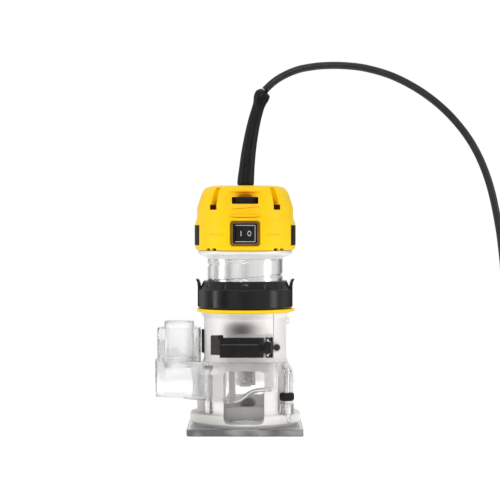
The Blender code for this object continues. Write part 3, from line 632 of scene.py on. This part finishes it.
def make_dust_adaptor():
    inner_line = SHELL_R - WALL
    duct = [(-8, -47.6), (-14.5, duct_line(-14.5)), (-76, duct_line(-76)), (-84, 5), (-84, 25.5),
            (-46.2, 25.5), (-46.2, -6.5), (-33, -33)]
    body = soften(duct[:-1], 5, 6, False) + duct[-1:] + arc(inner_line, -42, -9, 14)
    room = [(-17, duct_line(-17, inner_line)), (-75.5, duct_line(-75.5, inner_line)), (-82, 5.6),
            (-82, 23.5), (-48.2, 23.5), (-48.2, -8), (-36, -24), (-20, -36)]
    sweep = smooth_route(LOWER_EDGE, 1.0)
    under = [(x, z) for x, z in sweep if x >= -9] + [(40, 41.2), (40, 20), (-9, 20)]
    lip_r = SHELL_R - 1.2
    lip = [(x, -math.sqrt(lip_r * lip_r - x * x), z) for x, z in sweep]
    fin = [(33.4, 61.2), (36, 60.2), (39.5, 56), (41.2, 50), (41.6, 44), (41.6, 18.3)]
    fin += [(45.2, 18.3), (45.2, 46), (44.3, 52.5), (41.8, 58), (38.2, 62.4), (33.4, 65.2)]
    foot = round_block((31.7, 44.7), (-37.5, -21.5), (18.1, 27.2), 5, "Z", 8)
    sleeve = turned(rectangle((18.7, 20.5), (63.5, 95)), 80, OUTLET, edge=0.5)
    steps = [
        ("join", prism(sector(SHELL_R, inner_line, 36, -12, 40), 30, 64)),
        ("join", prism(sector(SHELL_R, 41.0, 38, -48, 50), 62.7, 65.5)),
        ("join", prism(sector(44.4, 41.0, 57, 34, 12), 62.8, 65.4)),
        ("join", prism(soften(fin, 1.0, 3), -23.6, -21.0, "Y")),
        ("join", foot),
        ("join", round_block((34, 42.4), (-35.5, -21.5), (55.8, 58.6), 2, "Z")),
        ("join", sleeve),
        rounded_under(soften(room, 3, 6, False), 32, 63, 3.6, -24),
        prism(under, -60, -37.8, "Y"),
        ("join", tube(lip, [0.4] + [2.1] * (len(lip) - 2) + [0.6], 16)),
        ("join", rod(4.2, 18.3, 59.2, 40, LEFT_SCREW)),
        rod(3.1, 10, 70, 32, STUD),
        rod(2.3, 10, 62.4, 32, LEFT_SCREW),
        rod(14.2, 57, 70, 64, OUTLET),
    ]
    shell = carve(rounded_under(body, 30, 65, 6.5, -24), steps)
    piece("clear_dust_adaptor", shell, "clear", "base", ["dust_adaptor"], 0.35, 3)
    spout = [(12.2, 58), (13.8, 58), (13.8, 65.8), (16.4, 65.8), (16.4, 68), (13.8, 68)]
    spout += [(13.8, 101), (12.2, 101)]
    piece("outlet_spout", turned(spout, 96, OUTLET, edge=0.5), "clear", "base", ["hose_spout"])


def thumb_flutes(angle, radius, height):
    return radius - (0.45 if radius > 5 and angle % 22.5 < 8 else 0)


def make_adaptor_fittings():
    stud = rod(2.7, 10.2, 60.2, 40, STUD, edge=0.5)
    piece("adaptor_threaded_stud", stud, "steel", "base", ["adaptor_stud"])
    shank = rod(1.9, 10.2, 59.7, 40, LEFT_SCREW, edge=0.4)
    piece("adaptor_screw_shank", shank, "steel", "base", slot="black_steel")
    x, y = LEFT_SCREW
    slot = turn(block((x - 3, x + 3), (y - 0.5, y + 0.5), (61, 63)), 35, about=(x, y, 0))
    screw = [(0, 59.5), (4.2, 59.5), (4.2, 61), (3.2, 62), (0, 62)]
    screw = carve(turned(screw, 40, LEFT_SCREW, edge=0.25), [slot])
    piece("adaptor_long_screw", screw, "dark", "base", ["adaptor_left_screw"])
    # The clip is a real part; its black tone is painted shade on the barrel's left side.
    clip = prism(sector(40.6, 38.6, -96, -80, 8), 72, 93.6)
    piece("adaptor_clip_painted_shade", clip, "rubber", "base", ["adaptor_clip"], 0.4)
    knob = [(3.0, 30.2), (5.7, 30.2), (6.75, 31.6), (6.75, 36.0), (5.7, 37.4), (3.0, 37.4)]
    knob = turned(knob, 96, STUD, edge=0.5, relief=thumb_flutes)
    piece("thumb_nut", knob, "grip", "knob", ["thumb_knob"], smooth=50)


# ---------------------------------------------------------------- lever, rings and tabs

RING_R = 35.45
TAB_HINGE = (41.6, 118)


def make_lever():
    bar = soften([(-23, -52.2), (13, -52.2), (17, -50.4), (17, -45.4), (-23, -45.4)], 1.6, 5)
    steps = [
        ("join", round_block((16, 22), (-50, -44.2), (75, 85), 0.8, "X")),
        ("join", rod(3.4, 75, 85, 48, PIVOT)),
        ("join", round_block((-24.4, -19.6), (-51, -46.4), (88, 91.4), 1.2)),
        round_block((-22, 12.4), (-54, -51.5), (71.8, 82.4), 0.9),
        round_block((-22, 12.4), (-54, -51.5), (83.2, 88.2), 0.9),
        round_block((12.9, 17.4), (-54, -48.4), (77.2, 82.6), 0.6),
        rod(1.6, 60, 100, 32, PIVOT),
    ]
    bar = carve(prism(bar, 71, 89), steps)
    piece("cam_lever", bar, "gloss", "lever", ["clamp_lever"], 0.35, 3)
    grip = round_block((-31, -22), (-50.8, -44.4), (73.4, 91), 1.4)
    places = [-30.2 + 1.9 * index for index in range(4)]
    ribs = [round_block((x, x + 0.8), (-54, -50.2), (71, 93), 0.35, "Z") for x in places]
    piece("lever_thumb_grip", carve(grip, ribs), "worn_and_highlight", "lever", bevel=0.35)
    # A thin raised line along the lever front, lighter than the bar: partly a real ridge, partly a
    # painted highlight.
    ledge = round_block((-21.6, 12), (-52.35, -51.2), (82.3, 83.3), 0.3, "X")
    piece("lever_ledge_painted_highlight", ledge, "worn_and_highlight", "lever")


def make_scale_ring():
    section = rectangle((RING_R, 44.6), (110.4, 113.2))
    steps = [("join", round_block((43.4, 45.8), (-1.5, 1.5), (110.7, 112.9), 0.5, "X"))]
    for index in range(1, 32):
        steps.append(turn(block((44.2, 46), (-0.15, 0.15), (111.2, 113.4)), 11.25 * index))
    ring = carve(turned(section, 144, edge=0.5), steps)
    piece("depth_zero_ring", ring, "yellow", "zero_ring", ["scale_ring"])


def make_depth_ring():
    section = [(RING_R, 113.5), (42.8, 113.5), (44.0, 114.9), (44.0, 130.9), (42.9, 131.9),
               (42.2, 133.2), (39.6, 139), (RING_R, 139)]
    hinge_x, hinge_z = TAB_HINGE
    steps = []
    for sign in (-1, 1):
        pocket = sorted((sign * 38.4, sign * 50))
        steps.append(block(pocket, (-9.4, 9.4), (115, 145)))
        steps.append(rod(1.15, -12, 12, 24, (sign * hinge_x, hinge_z), "Y"))
    for index in range(10):
        angle = math.radians(34 + 28 * (index % 5) + 180 * (index // 5))
        steps.append(rod(8.0, 132.6, 145, 48, (49 * math.cos(angle), 49 * math.sin(angle))))
    steps.append(turned(rectangle((43.6, 45), (115.9, 116.5)), 144))
    ring = carve(turned(soften(section, 0.8, 4), 144), steps)
    piece("depth_adjusting_ring", ring, "gloss", "depth_ring", ["adjusting_ring"], 0.4, 3)
    section = [(39.6, 115.3), (43.9, 115.3), (43.9, 133.5), (44.3, 137.6), (45.6, 140.2),
               (44.9, 140.9), (42.6, 139.8), (41.2, 136), (41.0, 121), (39.6, 120)]
    for side, sign in SIDES:
        hinge = (sign * hinge_x, hinge_z)
        outline = soften([(sign * x, z) for x, z in section], 0.6, 3)
        cuts = [rod(1.15, -12, 12, 24, hinge, "Y")]
        for index in range(5):
            height = 121 + 2.4 * index
            span = sorted((sign * 43.5, sign * 46))
            cuts.append(block(span, (-7.5, 7.5), (height, height + 0.9)))
        tab = carve(prism(outline, -9, 9, "Y"), cuts)
        piece(f"squeeze_tab_{side}", tab, "gloss", f"{side}_tab", [f"release_tab_{side}"], 0.3)
        pin = rod(0.85, -11.6, 11.6, 20, hinge, "Y", edge=0.2)
        piece(f"squeeze_tab_pin_{side}", pin, "steel", "depth_ring", [f"tab_pin_{side}"])


# ---------------------------------------------------------------- motor

MOTOR_R = 35
SWITCH_Z = 183
DEPTH_LEAD = 16.0
GROOVE_AT_FRONT = 141.3
GROOVE_DEPTH = 1.0
GROOVE_HALF = 1.35
GROOVE_FLANK = 0.4


def depth_groove(angle, radius, height):
    """The helical groove that the depth ring's thread runs in."""
    if abs(radius - MOTOR_R) > 0.01 or not 104 < height < 159:
        return radius
    angle = (angle + 180) % 360 - 180
    centre = GROOVE_AT_FRONT + DEPTH_LEAD * angle / 360
    away = (height - centre + DEPTH_LEAD / 2) % DEPTH_LEAD - DEPTH_LEAD / 2
    return radius - GROOVE_DEPTH * max(0.0, min(1.0, (GROOVE_HALF - abs(away)) / GROOVE_FLANK))


def make_motor():
    profile = [(10, 62), (17.6, 62), (18.5, 62.9), (18.5, 71), (34.2, 71), (MOTOR_R, 71.8),
               (MOTOR_R, 104)]
    profile += [(MOTOR_R, 104.2 + 0.45 * step) for step in range(122)]
    profile += [(MOTOR_R, 159.2), (32.4, 159.2), (32.4, 78), (16.3, 76.4), (16.3, 65.7),
                (10, 65.7)]
    cylinder = turned(profile, 160, relief=depth_groove)
    piece("motor_cylinder", cylinder, "turned", "motor", ["motor_housing"], smooth=38)
    section = [(32.4, 159.3), (35.1, 159.3), (35.6, 160.2), (37.6, 161.2), (41.4, 162.6),
               (43.6, 164.4), (43.9, 167.2), (41.2, 167.2), (39.5, 164.8), (34, 161)]
    piece("motor_shoulder", turned(soften(section, 1.5, 4), 144), "satin", "motor")


def switch_recess():
    """The opening round the switch, whose sides lean in towards its floor."""
    rings = []
    for depth, width, height in ((-60, 22.0, 19.6), (-40.2, 11.4, 9.4)):
        outline = soften(rectangle((-width, width), (-height, height)), 3, 8)
        rings.append([(x, depth, SWITCH_Z + z) for x, z in outline])
    return capped(*rings)


def leaning_sector(middle, half, levels):
    """A sector whose outer and inner radii change from its lower height to its upper one."""
    rings = []
    for height, outer, inner in levels:
        outline = sector(outer, inner, middle - half, middle + half, 6)
        rings.append([(x, y, height) for x, y in outline])
    return capped(*rings)


def make_cap():
    slope = [(45.4, 167.5), (46.8, 170.6), (46.8, 191), (44.65, 197.4), (44.65, 206),
             (43.0, 211.6), (41.4, 216.6), (39.4, 221.4), (36.4, 225.2), (29.0, 226.7),
             (16.0, 227.0)]
    profile = soften(slope, 3, 5, False)
    profile += [(0, 227), (0, 224.4), (28.5, 223.0), (33.6, 219.8), (36.8, 214), (38.6, 206)]
    profile += [(41.6, 197), (43.3, 191), (43.3, 167.5)]
    ledge = [(-14.2, 199.9), (-13.4, 198.7), (-8, 198.1), (8, 198.1), (13.4, 198.7), (14.2, 199.9)]
    ledge += [(14.2, 198.9), (13.2, 197.7), (8, 197.0), (-8, 197.0), (-13.2, 197.7), (-14.2, 198.9)]
    front_panel = [(-60, 199.6), (-42.1, 199.6), (-42.1, 206), (-40.2, 212), (-38.5, 217)]
    front_panel += [(-36.7, 221), (-60, 221)]
    wedge = [(-11.5, 204.6), (13, 206.7), (13, 207.6), (-11.5, 205.4)]
    steps = [
        ("join", round_block((-15.5, 15.5), (-45.6, -36), (170.5, 195.3), 3)),
        round_block((-19.4, 19.4), (-60, -43.9), (196.4, 240), 2, steps=8),
        round_block((-17.2, 17.2), (-60, -45.2), (150, 199), 4, steps=8),
        prism(front_panel, -14.2, 14.2, "X"),
        prism(ledge, -60, -42.0, "Y"),
        switch_recess(),
        round_block((-11, 11), (-50, -30), (173.9, 192.1), 1.0),
        round_block((-12, 12), (-60, -30), (209.85, 216.15), 0.8),
        ball((0, -47.5, 215.8), (10.8, 11.6, 5.6)),
        prism(wedge, -60, -41.2, "Y"),
    ]
    for side, sign in SIDES:
        # The wall inside that closes the vent channel, then the channel down the shoulder.
        wall = leaning_sector(sign * 41, 6, ((205.0, 41.5, 33.4), (222.4, 36.4, 33.4)))
        steps += [
            ("join", wall),
            leaning_sector(sign * 41, 4.2, ((207.0, 55, 36.6), (224.6, 55, 35.0))),
            block(sorted((sign * 26, sign * 32)), (-60, -20), (204.5, 209.2)),
            prism(sector(50, 45.0, sign * 64, sign * 116, 24), 171.8, 190.6),
            prism(sector(50, 46.1, sign * 24, sign * 43, 12), 181.5, 182.4),
        ]
        for start in (35, 44.5):
            notch = sector(50, 42.8, sign * start, sign * (start + 6.5), 4)
            steps.append(prism(notch, 166, 169.4))
        panel = prism(sector(46.9, 45.3, sign * 64.6, sign * 115.4, 24), 172.1, 190.3)
        piece(f"blank_panel_{side}", panel, "label", "motor", [f"side_panel_{side}"], 0.25)
    for index in range(7):
        for sign in (-1, 1):
            vent = round_block((-1.2, 1.2), (-50, -38), (176, 205), 1.1)
            steps.append(turn(vent, sign * (128 + 7 * index)))
    way = [(0, 150), (1.9, 150), (1.9, 172), (2.7, 172), (2.7, 235), (0, 235)]
    screw = [(0, 152), (1.5, 152), (1.5, 172.3), (2.4, 172.3), (2.4, 175), (0, 175)]
    places = [(x, y) for x in (-21.5, 21.5) for y in (-18.7, 18.7)]
    for number, place in enumerate(places, 1):
        steps.append(("join", rod(3.7, 160.3, 225, 32, place)))
        steps.append(turned(way, 32, place))
        piece(f"cap_fixing_screw_{number}", turned(screw, 24, place, edge=0.2), "steel", "motor",
              [f"cap_screw_{number}"])
    steps.append(rod(7.3, 215, 240, 48, (0.2, 10)))
    # A black ring just inside the cap's bottom notches: painted shade, so that the notches read
    # dark.
    notch_shade_ring = turned(rectangle((40.4, 42.9), (167.4, 170.6)), 96, edge=0.3)
    piece("cap_notch_shade_ring", notch_shade_ring, "rubber", "motor")
    cap = carve(turned(profile, 144), steps)
    piece("yellow_motor_cap", cap, "yellow", "motor", ["motor_cap"], 0.4, 3)


def make_switch():
    body = round_block((-10.7, 10.7), (-41.4, -25), (174.2, 191.8), 0.8)
    body = carve(body, [round_block((-9.4, 9.4), (-50, -34.5), (175.4, 190.6), 0.8)])
    piece("switch_frame", body, "gloss", "motor", ["switch_body"], 0.5, 3)
    seal = round_block((-13.2, 13.2), (-45.0, -41.0), (172.2, 193.8), 3.2, steps=8)
    seal = carve(seal, [round_block((-10.9, 10.9), (-50, -39), (174.0, 192.0), 1.6)])
    piece("switch_seal", seal, "seal", "motor", bevel=1.4, segments=4)
    rim = round_block((-10.8, 10.8), (-43.6, -41.2), (174.1, 191.9), 1.4)
    rim = carve(rim, [round_block((-9.3, 9.3), (-50, -39), (175.5, 190.5), 0.8)])
    piece("switch_rim", rim, "gloss", "motor", bevel=0.5, segments=3)
    # Pale strips on the top, foot and right side of the switch rim: painted highlights where the
    # rim catches the light.
    for name, x, z in (
        ("top", (-8.8, 9.2), (190.1, 190.7)),
        ("foot", (-8.8, 9.2), (175.3, 175.9)),
        ("side", (8.8, 9.4), (175.3, 190.7)),
    ):
        edge = round_block(x, (-43.9, -43.2), z, 0.2)
        piece(f"switch_rim_painted_highlight_{name}", edge, "mark", "motor")
    outline = [(-8.4, -42.6), (0, -41.4), (8.4, -43.4), (8.2, -38.6), (3, -36.2), (-3, -36.2),
               (-8.3, -38)]
    rocker = prism(soften(outline, 0.5, 3), 175.8, 190.2)
    spans = ((-6.8, -0.7), (0.7, 6.8))
    halves = [round_block(span, (-50, -42.1), (177.2, 188.8), 0.6) for span in spans]
    piece("rocker_key", carve(rocker, halves), "gloss", "rocker", ["rocker_switch"], 0.5, 3)
    bar = round_block((-4.1, -3.3), (-42.25, -41.8), (180.6, 185.4), 0.3)
    piece("switch_mark_on", bar, "mark", "rocker")
    ring = turned(rectangle((1.15, 1.75), (-0.15, 0.15)), 32, axis="Y")
    for vertex in ring.verts:
        vertex.co.z *= 1.4
        vertex.co += Vector((3.9, -42.35, SWITCH_Z))
    piece("switch_mark_off", ring, "mark", "rocker")


def dial_ribs(angle, radius, height):
    return radius - (0.5 * (angle % 10 > 5) if radius > 12 else 0)


def make_dial():
    section = rectangle((2.3, 13.5), (210.2, 215.8))
    dial = turned(section, 144, (0, -27.3), edge=0.4, relief=dial_ribs)
    piece("speed_thumbwheel", dial, "grip", "dial", ["speed_dial"], smooth=50)


def make_spindle():
    cuts = [
        rod(6.4, 30, 70, 48),
        turned([(10.2, 41), (14, 41), (14, 43.2), (11.2, 43.2)]),
        turned(rectangle((9.6, 14), (45.2, 46.4))),
    ]
    nut = carve(rod(11, 42, 58.2, 6), cuts)
    piece("hex_collet_nut", nut, "steel", "collet_nut", ["collet_nut"], 0.3)
    collet = turned([(3.2, 40.4), (5.4, 40.4), (6.1, 43), (6.1, 55), (3.2, 55)], 64, edge=0.2)
    slits = [turn(block((-8, 8), (-0.35, 0.35), (39, 52)), angle) for angle in (0, 60, 120)]
    piece("split_collet", carve(collet, slits), "steel", "spindle", ["collet"], 0.12)


def make_lock_button():
    button = round_block((-4, 4), (-33.8, -23), (63, 70.6), 1.5)
    heights = [64.8 + 1.9 * index for index in range(3)]
    button = carve(button, [block((-3, 3), (-35, -33.3), (z, z + 0.8)) for z in heights])
    piece("spindle_lock_key", button, "grip", "lock_button", ["spindle_lock_button"], 0.3)


# CAD nodes that are shown as they are, by finish.
KEPT_NODES = {
    "steel": ("spindle_shaft", "lower_bearing", "upper_bearing", "brush_holder_left",
              "brush_holder_right"),
    "copper": ("field_windings", "armature_winding", "commutator"),
    "core": ("stator", "armature_core"),
    "carbon": ("carbon_brush_left", "carbon_brush_right"),
    "board": ("speed_module",),
    "black": ("fan", "air_baffle", "brush_bridge", "cord_clamp"),
}


def dress_kept_nodes():
    for finish, names in KEPT_NODES.items():
        for name in names:
            for place in NODES[name].material_slots:
                place.material = FINISH[finish].material


# ---------------------------------------------------------------- lead

CORD_R = 3.4
GUARD_Y = 10.0
# The cord guard's stations above the cap: x, z and radius.
BOOT = (
    (0.0, 218.0, 6.9), (0.2, 226.6, 6.9), (0.35, 229.0, 7.9), (0.8, 235.0, 7.7),
    (1.7, 245.0, 7.2), (2.9, 256.0, 6.9), (4.6, 267.5, 6.5), (6.5, 278.0, 6.2),
    (8.7, 288.0, 5.9), (10.9, 296.0, 5.7), (12.6, 301.5, 5.7), (13.7, 305.0, 6.2),
    (14.5, 307.6, 7.0), (15.2, 309.6, 7.35), (16.0, 311.6, 7.3), (16.7, 313.3, 6.9),
    (17.1, 314.2, 6.0), (17.5, 314.9, 4.6), (18.1, 315.8, 3.6),
)
# The lead's route down to its coil: the same points as the CAD tube's.
CORD_ROUTE = (
    (18.4, 10.0, 316.2), (22.8, 10.0, 320.6), (28.8, 10.0, 325.6), (36.6, 9.9, 330.2),
    (45.3, 9.8, 334.0), (53.8, 9.6, 336.5), (71.0, 9.2, 338.9), (92.4, 8.6, 339.0),
    (115.0, 8.0, 336.0), (141.0, 7.0, 327.5), (168.0, 5.5, 312.0), (192.0, 3.5, 291.0),
    (212.0, 1.0, 264.0), (226.0, -1.5, 231.0), (235.0, -4.0, 190.0), (240.0, -7.0, 146.0),
    (243.0, -14.0, 104.0), (244.5, -24.0, 68.0), (247.0, -35.0, 41.0), (252.0, -43.5, 22.0),
    (260.0, -48.4, 9.8), (270.0, -50.1, 4.6), (279.0, -50.2, 3.5),
)
COIL_CENTRE = (307.0, 0.0)
COIL_OUTER_TURN = 50.2
COIL_INNER_TURN = 29.8
COIL_LAST_TURN = 46.8
LOWER_TURNS = 3.0
UPPER_TURNS = 2.25
LAYER_Z = (3.5, 10.3)
# How many turns early the rise to the upper layer starts, and how many it takes.
RISE_LEAD = 0.17
RISE_TURNS = 0.42
STEPS_A_TURN = 40
TAIL_X = COIL_CENTRE[0] + COIL_LAST_TURN
TAIL_Z = 10.28
PLUG_START = COIL_CENTRE[1] + 35.5
PLUG_Z = 10.2


def coil_points():
    """The wound part: a lower layer that winds inwards, then an upper one that winds out."""
    points = []
    for step in range(int((LOWER_TURNS + UPPER_TURNS) * STEPS_A_TURN) + 1):
        wound = step / STEPS_A_TURN
        if wound <= LOWER_TURNS:
            share = wound / LOWER_TURNS
            radius = COIL_OUTER_TURN + (COIL_INNER_TURN - COIL_OUTER_TURN) * share
        else:
            share = (wound - LOWER_TURNS) / UPPER_TURNS
            radius = COIL_INNER_TURN + (COIL_LAST_TURN - COIL_INNER_TURN) * share
        rise = min(max((wound - LOWER_TURNS + RISE_LEAD) / RISE_TURNS, 0.0), 1.0)
        height = LAYER_Z[0] + (LAYER_Z[1] - LAYER_Z[0]) * rise * rise * (3 - 2 * rise)
        angle = 2 * math.pi * wound - math.pi / 2
        x = COIL_CENTRE[0] + radius * math.cos(angle)
        y = COIL_CENTRE[1] + radius * math.sin(angle)
        points.append((x, y, height))
    return points


def make_cord_guard():
    line = smooth_route([(x, GUARD_Y, z) for x, z, _ in BOOT], 0.9)
    heights = [station[1] for station in BOOT]
    radii = []
    for point in line:
        index = 0
        while index < len(BOOT) - 2 and heights[index + 1] < point.z:
            index += 1
        share = (point.z - heights[index]) / (heights[index + 1] - heights[index])
        radius, above = BOOT[index][2], BOOT[index + 1][2]
        radii.append(radius + (above - radius) * min(share, 1.0))
    piece("cord_guard", tube(line, radii, 40), "rubber", "motor", ["cord_boot"], smooth=60)


def make_plug():
    """The plug and its two contacts, as a list of pieces."""
    stations = ((0, 4.8), (4, 5.2), (8, 4.9), (12, 5.4), (16, 5.2), (20, 7.6), (23, 9.4),
                (28, 10.0), (50, 10.0), (53, 9.6), (54, 9.0))
    line = [(TAIL_X, PLUG_START + along, PLUG_Z) for along, _ in stations]
    body = tube(line, [radius for _, radius in stations], 40)
    for vertex in body.verts:
        widening = min(max((vertex.co.y - PLUG_START - 16) / 12, 0), 1)
        vertex.co.x = TAIL_X + (vertex.co.x - TAIL_X) * (1 + 0.7 * widening)
    grooves = []
    for index in range(5):
        y = PLUG_START + 28 + 4 * index
        for side in (-1, 1):
            span = sorted((TAIL_X + side * 15.9, TAIL_X + side * 20))
            grooves.append(block(span, (y, y + 1.6), (3, 18)))
    body = carve(body, grooves)
    pieces = [piece("mains_plug", body, "rubber", "base", ["plug"], 0.4)]
    face = PLUG_START + 54.3
    section = [(0, face), (2.4, face), (2.4, face + 17), (1.5, face + 19), (0, face + 19)]
    for side, sign in SIDES:
        pin = turned(section, 32, (TAIL_X + sign * 9.5, PLUG_Z), "Y", 0.4)
        name = f"plug_contact_{side}"
        pieces.append(piece(name, pin, "steel", "base", [f"plug_pin_{side}"]))
    return pieces


def make_tie():
    outer = soften(rectangle((25.4, 54.6), (0.02, 14.4)), 3.5, 6)
    inner = soften(rectangle((26.3, 53.7), (0.7, 13.65)), 3, 6)
    band = turn(carve(prism(outer, -3.5, 3.5, "Y"), [prism(inner, -6, 6, "Y")]), 158)
    for vertex in band.verts:
        vertex.co += Vector((*COIL_CENTRE, 0))
    return piece("coil_tie", band, "rubber", "base", bevel=0.25)


def make_lead():
    make_cord_guard()
    route = smooth_route(CORD_ROUTE, 5.0)
    tail = [(TAIL_X, COIL_CENTRE[1] + ahead, TAIL_Z) for ahead in (6, 13, 20, 28, 35.2)]
    centreline = [*route, *coil_points(), *tail]
    lead = framed("mains_lead", tube(centreline, CORD_R, 18), "sheath")
    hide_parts("cord_tube", "cord_coil")
    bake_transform(lead)
    plug, *pins = make_plug()
    tie = make_tie()


# ---------------------------------------------------------------- stage, light and camera

# Metres, from here on.
FLOOR_R = 0.48
FLOOR_Z = -0.0003
AIM = (AXIS_X * MM, 0.0, 0.12)
# Name, place, width and height, and power in watts.
SOFTBOXES = (
    ("left_softbox", (-0.93, -0.24, 0.3), (0.18, 0.9), 1.7),
    ("right_softbox", (0.96, -0.30, 0.3), (0.28, 0.9), 1.7),
    ("front_softbox", (-0.2, -1.5, 0.95), (0.7, 0.4), 5.0),
    ("top_softbox", (0.0, 0.1, 1.3), (0.9, 0.9), 2.0),
)
# Grey levels of the room round the horizon, from the left (-X) by the front and the right.
ROOM_BANDS = ((0.0, 0.45), (0.045, 0.9), (0.08, 0.7), (0.11, 0.3), (0.14, 0.8), (0.18, 0.95),
              (0.25, 0.55), (0.30, 0.8), (0.39, 0.85), (0.44, 1.0), (0.50, 0.95), (0.55, 0.8),
              (0.60, 0.4), (0.65, 0.02), (0.70, 0.9), (0.80, 0.9), (0.85, 0.3), (0.89, 0.8),
              (0.925, 1.0), (0.96, 0.5), (1.0, 0.45))
CEILING = 0.72
UNDERSIDE = 0.12
# Upward parts of the direction between which the room turns into its ceiling or underside.
CEILING_FADE = (0.12, 0.5)
UNDERSIDE_FADE = (-0.4, -0.04)
CAMERA_PLACE = ((AXIS_X + 4.5) * MM, -1.655, 0.201)
CAMERA_PITCH = 88.83
LENS = 128.2
SENSOR = 36.0


def make_floor():
    bm = bmesh.new()
    bmesh.ops.create_circle(bm, cap_ends=True, segments=96, radius=FLOOR_R)
    floor = plain_object(bm, "studio_floor")
    floor.data.materials.append(FINISH["floor"].material)
    floor.location.z = FLOOR_Z


def softbox(name, place, size, power):
    data = bpy.data.lights.new(name, "AREA")
    data.shape = "RECTANGLE"
    data.size, data.size_y = size
    data.energy = power
    light = bpy.data.objects.new(name, data)
    light.location = place
    direction = Vector(AIM) - Vector(place)
    light.rotation_euler = direction.to_track_quat("-Z", "Y").to_euler()
    bpy.context.scene.collection.objects.link(light)


def grey_ramp(tree, source, levels):
    node = add_node(tree, "ValToRGB", {"Fac": source})
    ramp = node.color_ramp
    ramp.elements[0].position = levels[0][0]
    ramp.elements[1].position = levels[-1][0]
    for position, _ in levels[1:-1]:
        ramp.elements.new(position)
    for element, (_, level) in zip(ramp.elements, levels):
        element.color = grey(level)
    return node.outputs["Color"]


def make_light():
    """A white backdrop for the camera, and a banded room that lights the router."""
    world = bpy.data.worlds.new("studio")
    bpy.context.scene.world = world
    world.use_nodes = True
    tree = world.node_tree
    tree.nodes.clear()
    direction = add_node(tree, "TexCoord").outputs["Generated"]
    height = add_node(tree, "SeparateXYZ", {0: direction}).outputs["Z"]

    def risen(low, high):
        inputs = {"From Min": low, "From Max": high, "Value": height}
        node = add_node(tree, "MapRange", inputs, interpolation_type="SMOOTHSTEP")
        return node.outputs["Result"]

    def mixed(factor, under, over):
        inputs = {"A": under, "B": over, "Factor": factor}
        return add_node(tree, "Mix", inputs, data_type="RGBA").outputs["Result"]

    # The room is darker between its soft boxes, which gives polished metal its bands.
    around = add_node(tree, "TexGradient", {"Vector": direction}, gradient_type="RADIAL")
    bands = grey_ramp(tree, around.outputs["Fac"], ROOM_BANDS)
    lower = mixed(risen(*UNDERSIDE_FADE), grey(UNDERSIDE), bands)
    whole = mixed(risen(*CEILING_FADE), lower, grey(CEILING))
    room = add_node(tree, "Background", {"Color": whole})
    backdrop = add_node(tree, "Background", {"Color": grey(1.0)})
    to_camera = add_node(tree, "LightPath").outputs["Is Camera Ray"]
    shaders = {0: to_camera, 1: room.outputs[0], 2: backdrop.outputs[0]}
    seen = add_node(tree, "MixShader", shaders)
    add_node(tree, "OutputWorld", {"Surface": seen.outputs[0]})
    for name, place, size, power in SOFTBOXES:
        softbox(name, place, size, power)


def make_camera():
    data = bpy.data.cameras.new("camera")
    data.lens = LENS
    data.sensor_width = SENSOR
    camera = bpy.data.objects.new("camera", data)
    camera.location = CAMERA_PLACE
    camera.rotation_euler = (math.radians(CAMERA_PITCH), 0.0, 0.0)
    bpy.context.scene.collection.objects.link(camera)
    bpy.context.scene.camera = camera
    bpy.context.scene.view_settings.view_transform = "Standard"


make_camera()
make_lead()
make_sub_base()
make_base_casting()
make_clamp()
make_dust_adaptor()
make_adaptor_fittings()
make_lever()
make_scale_ring()
make_depth_ring()
make_motor()
make_cap()
make_switch()
make_dial()
make_spindle()
make_lock_button()
dress_kept_nodes()
make_floor()
make_light()
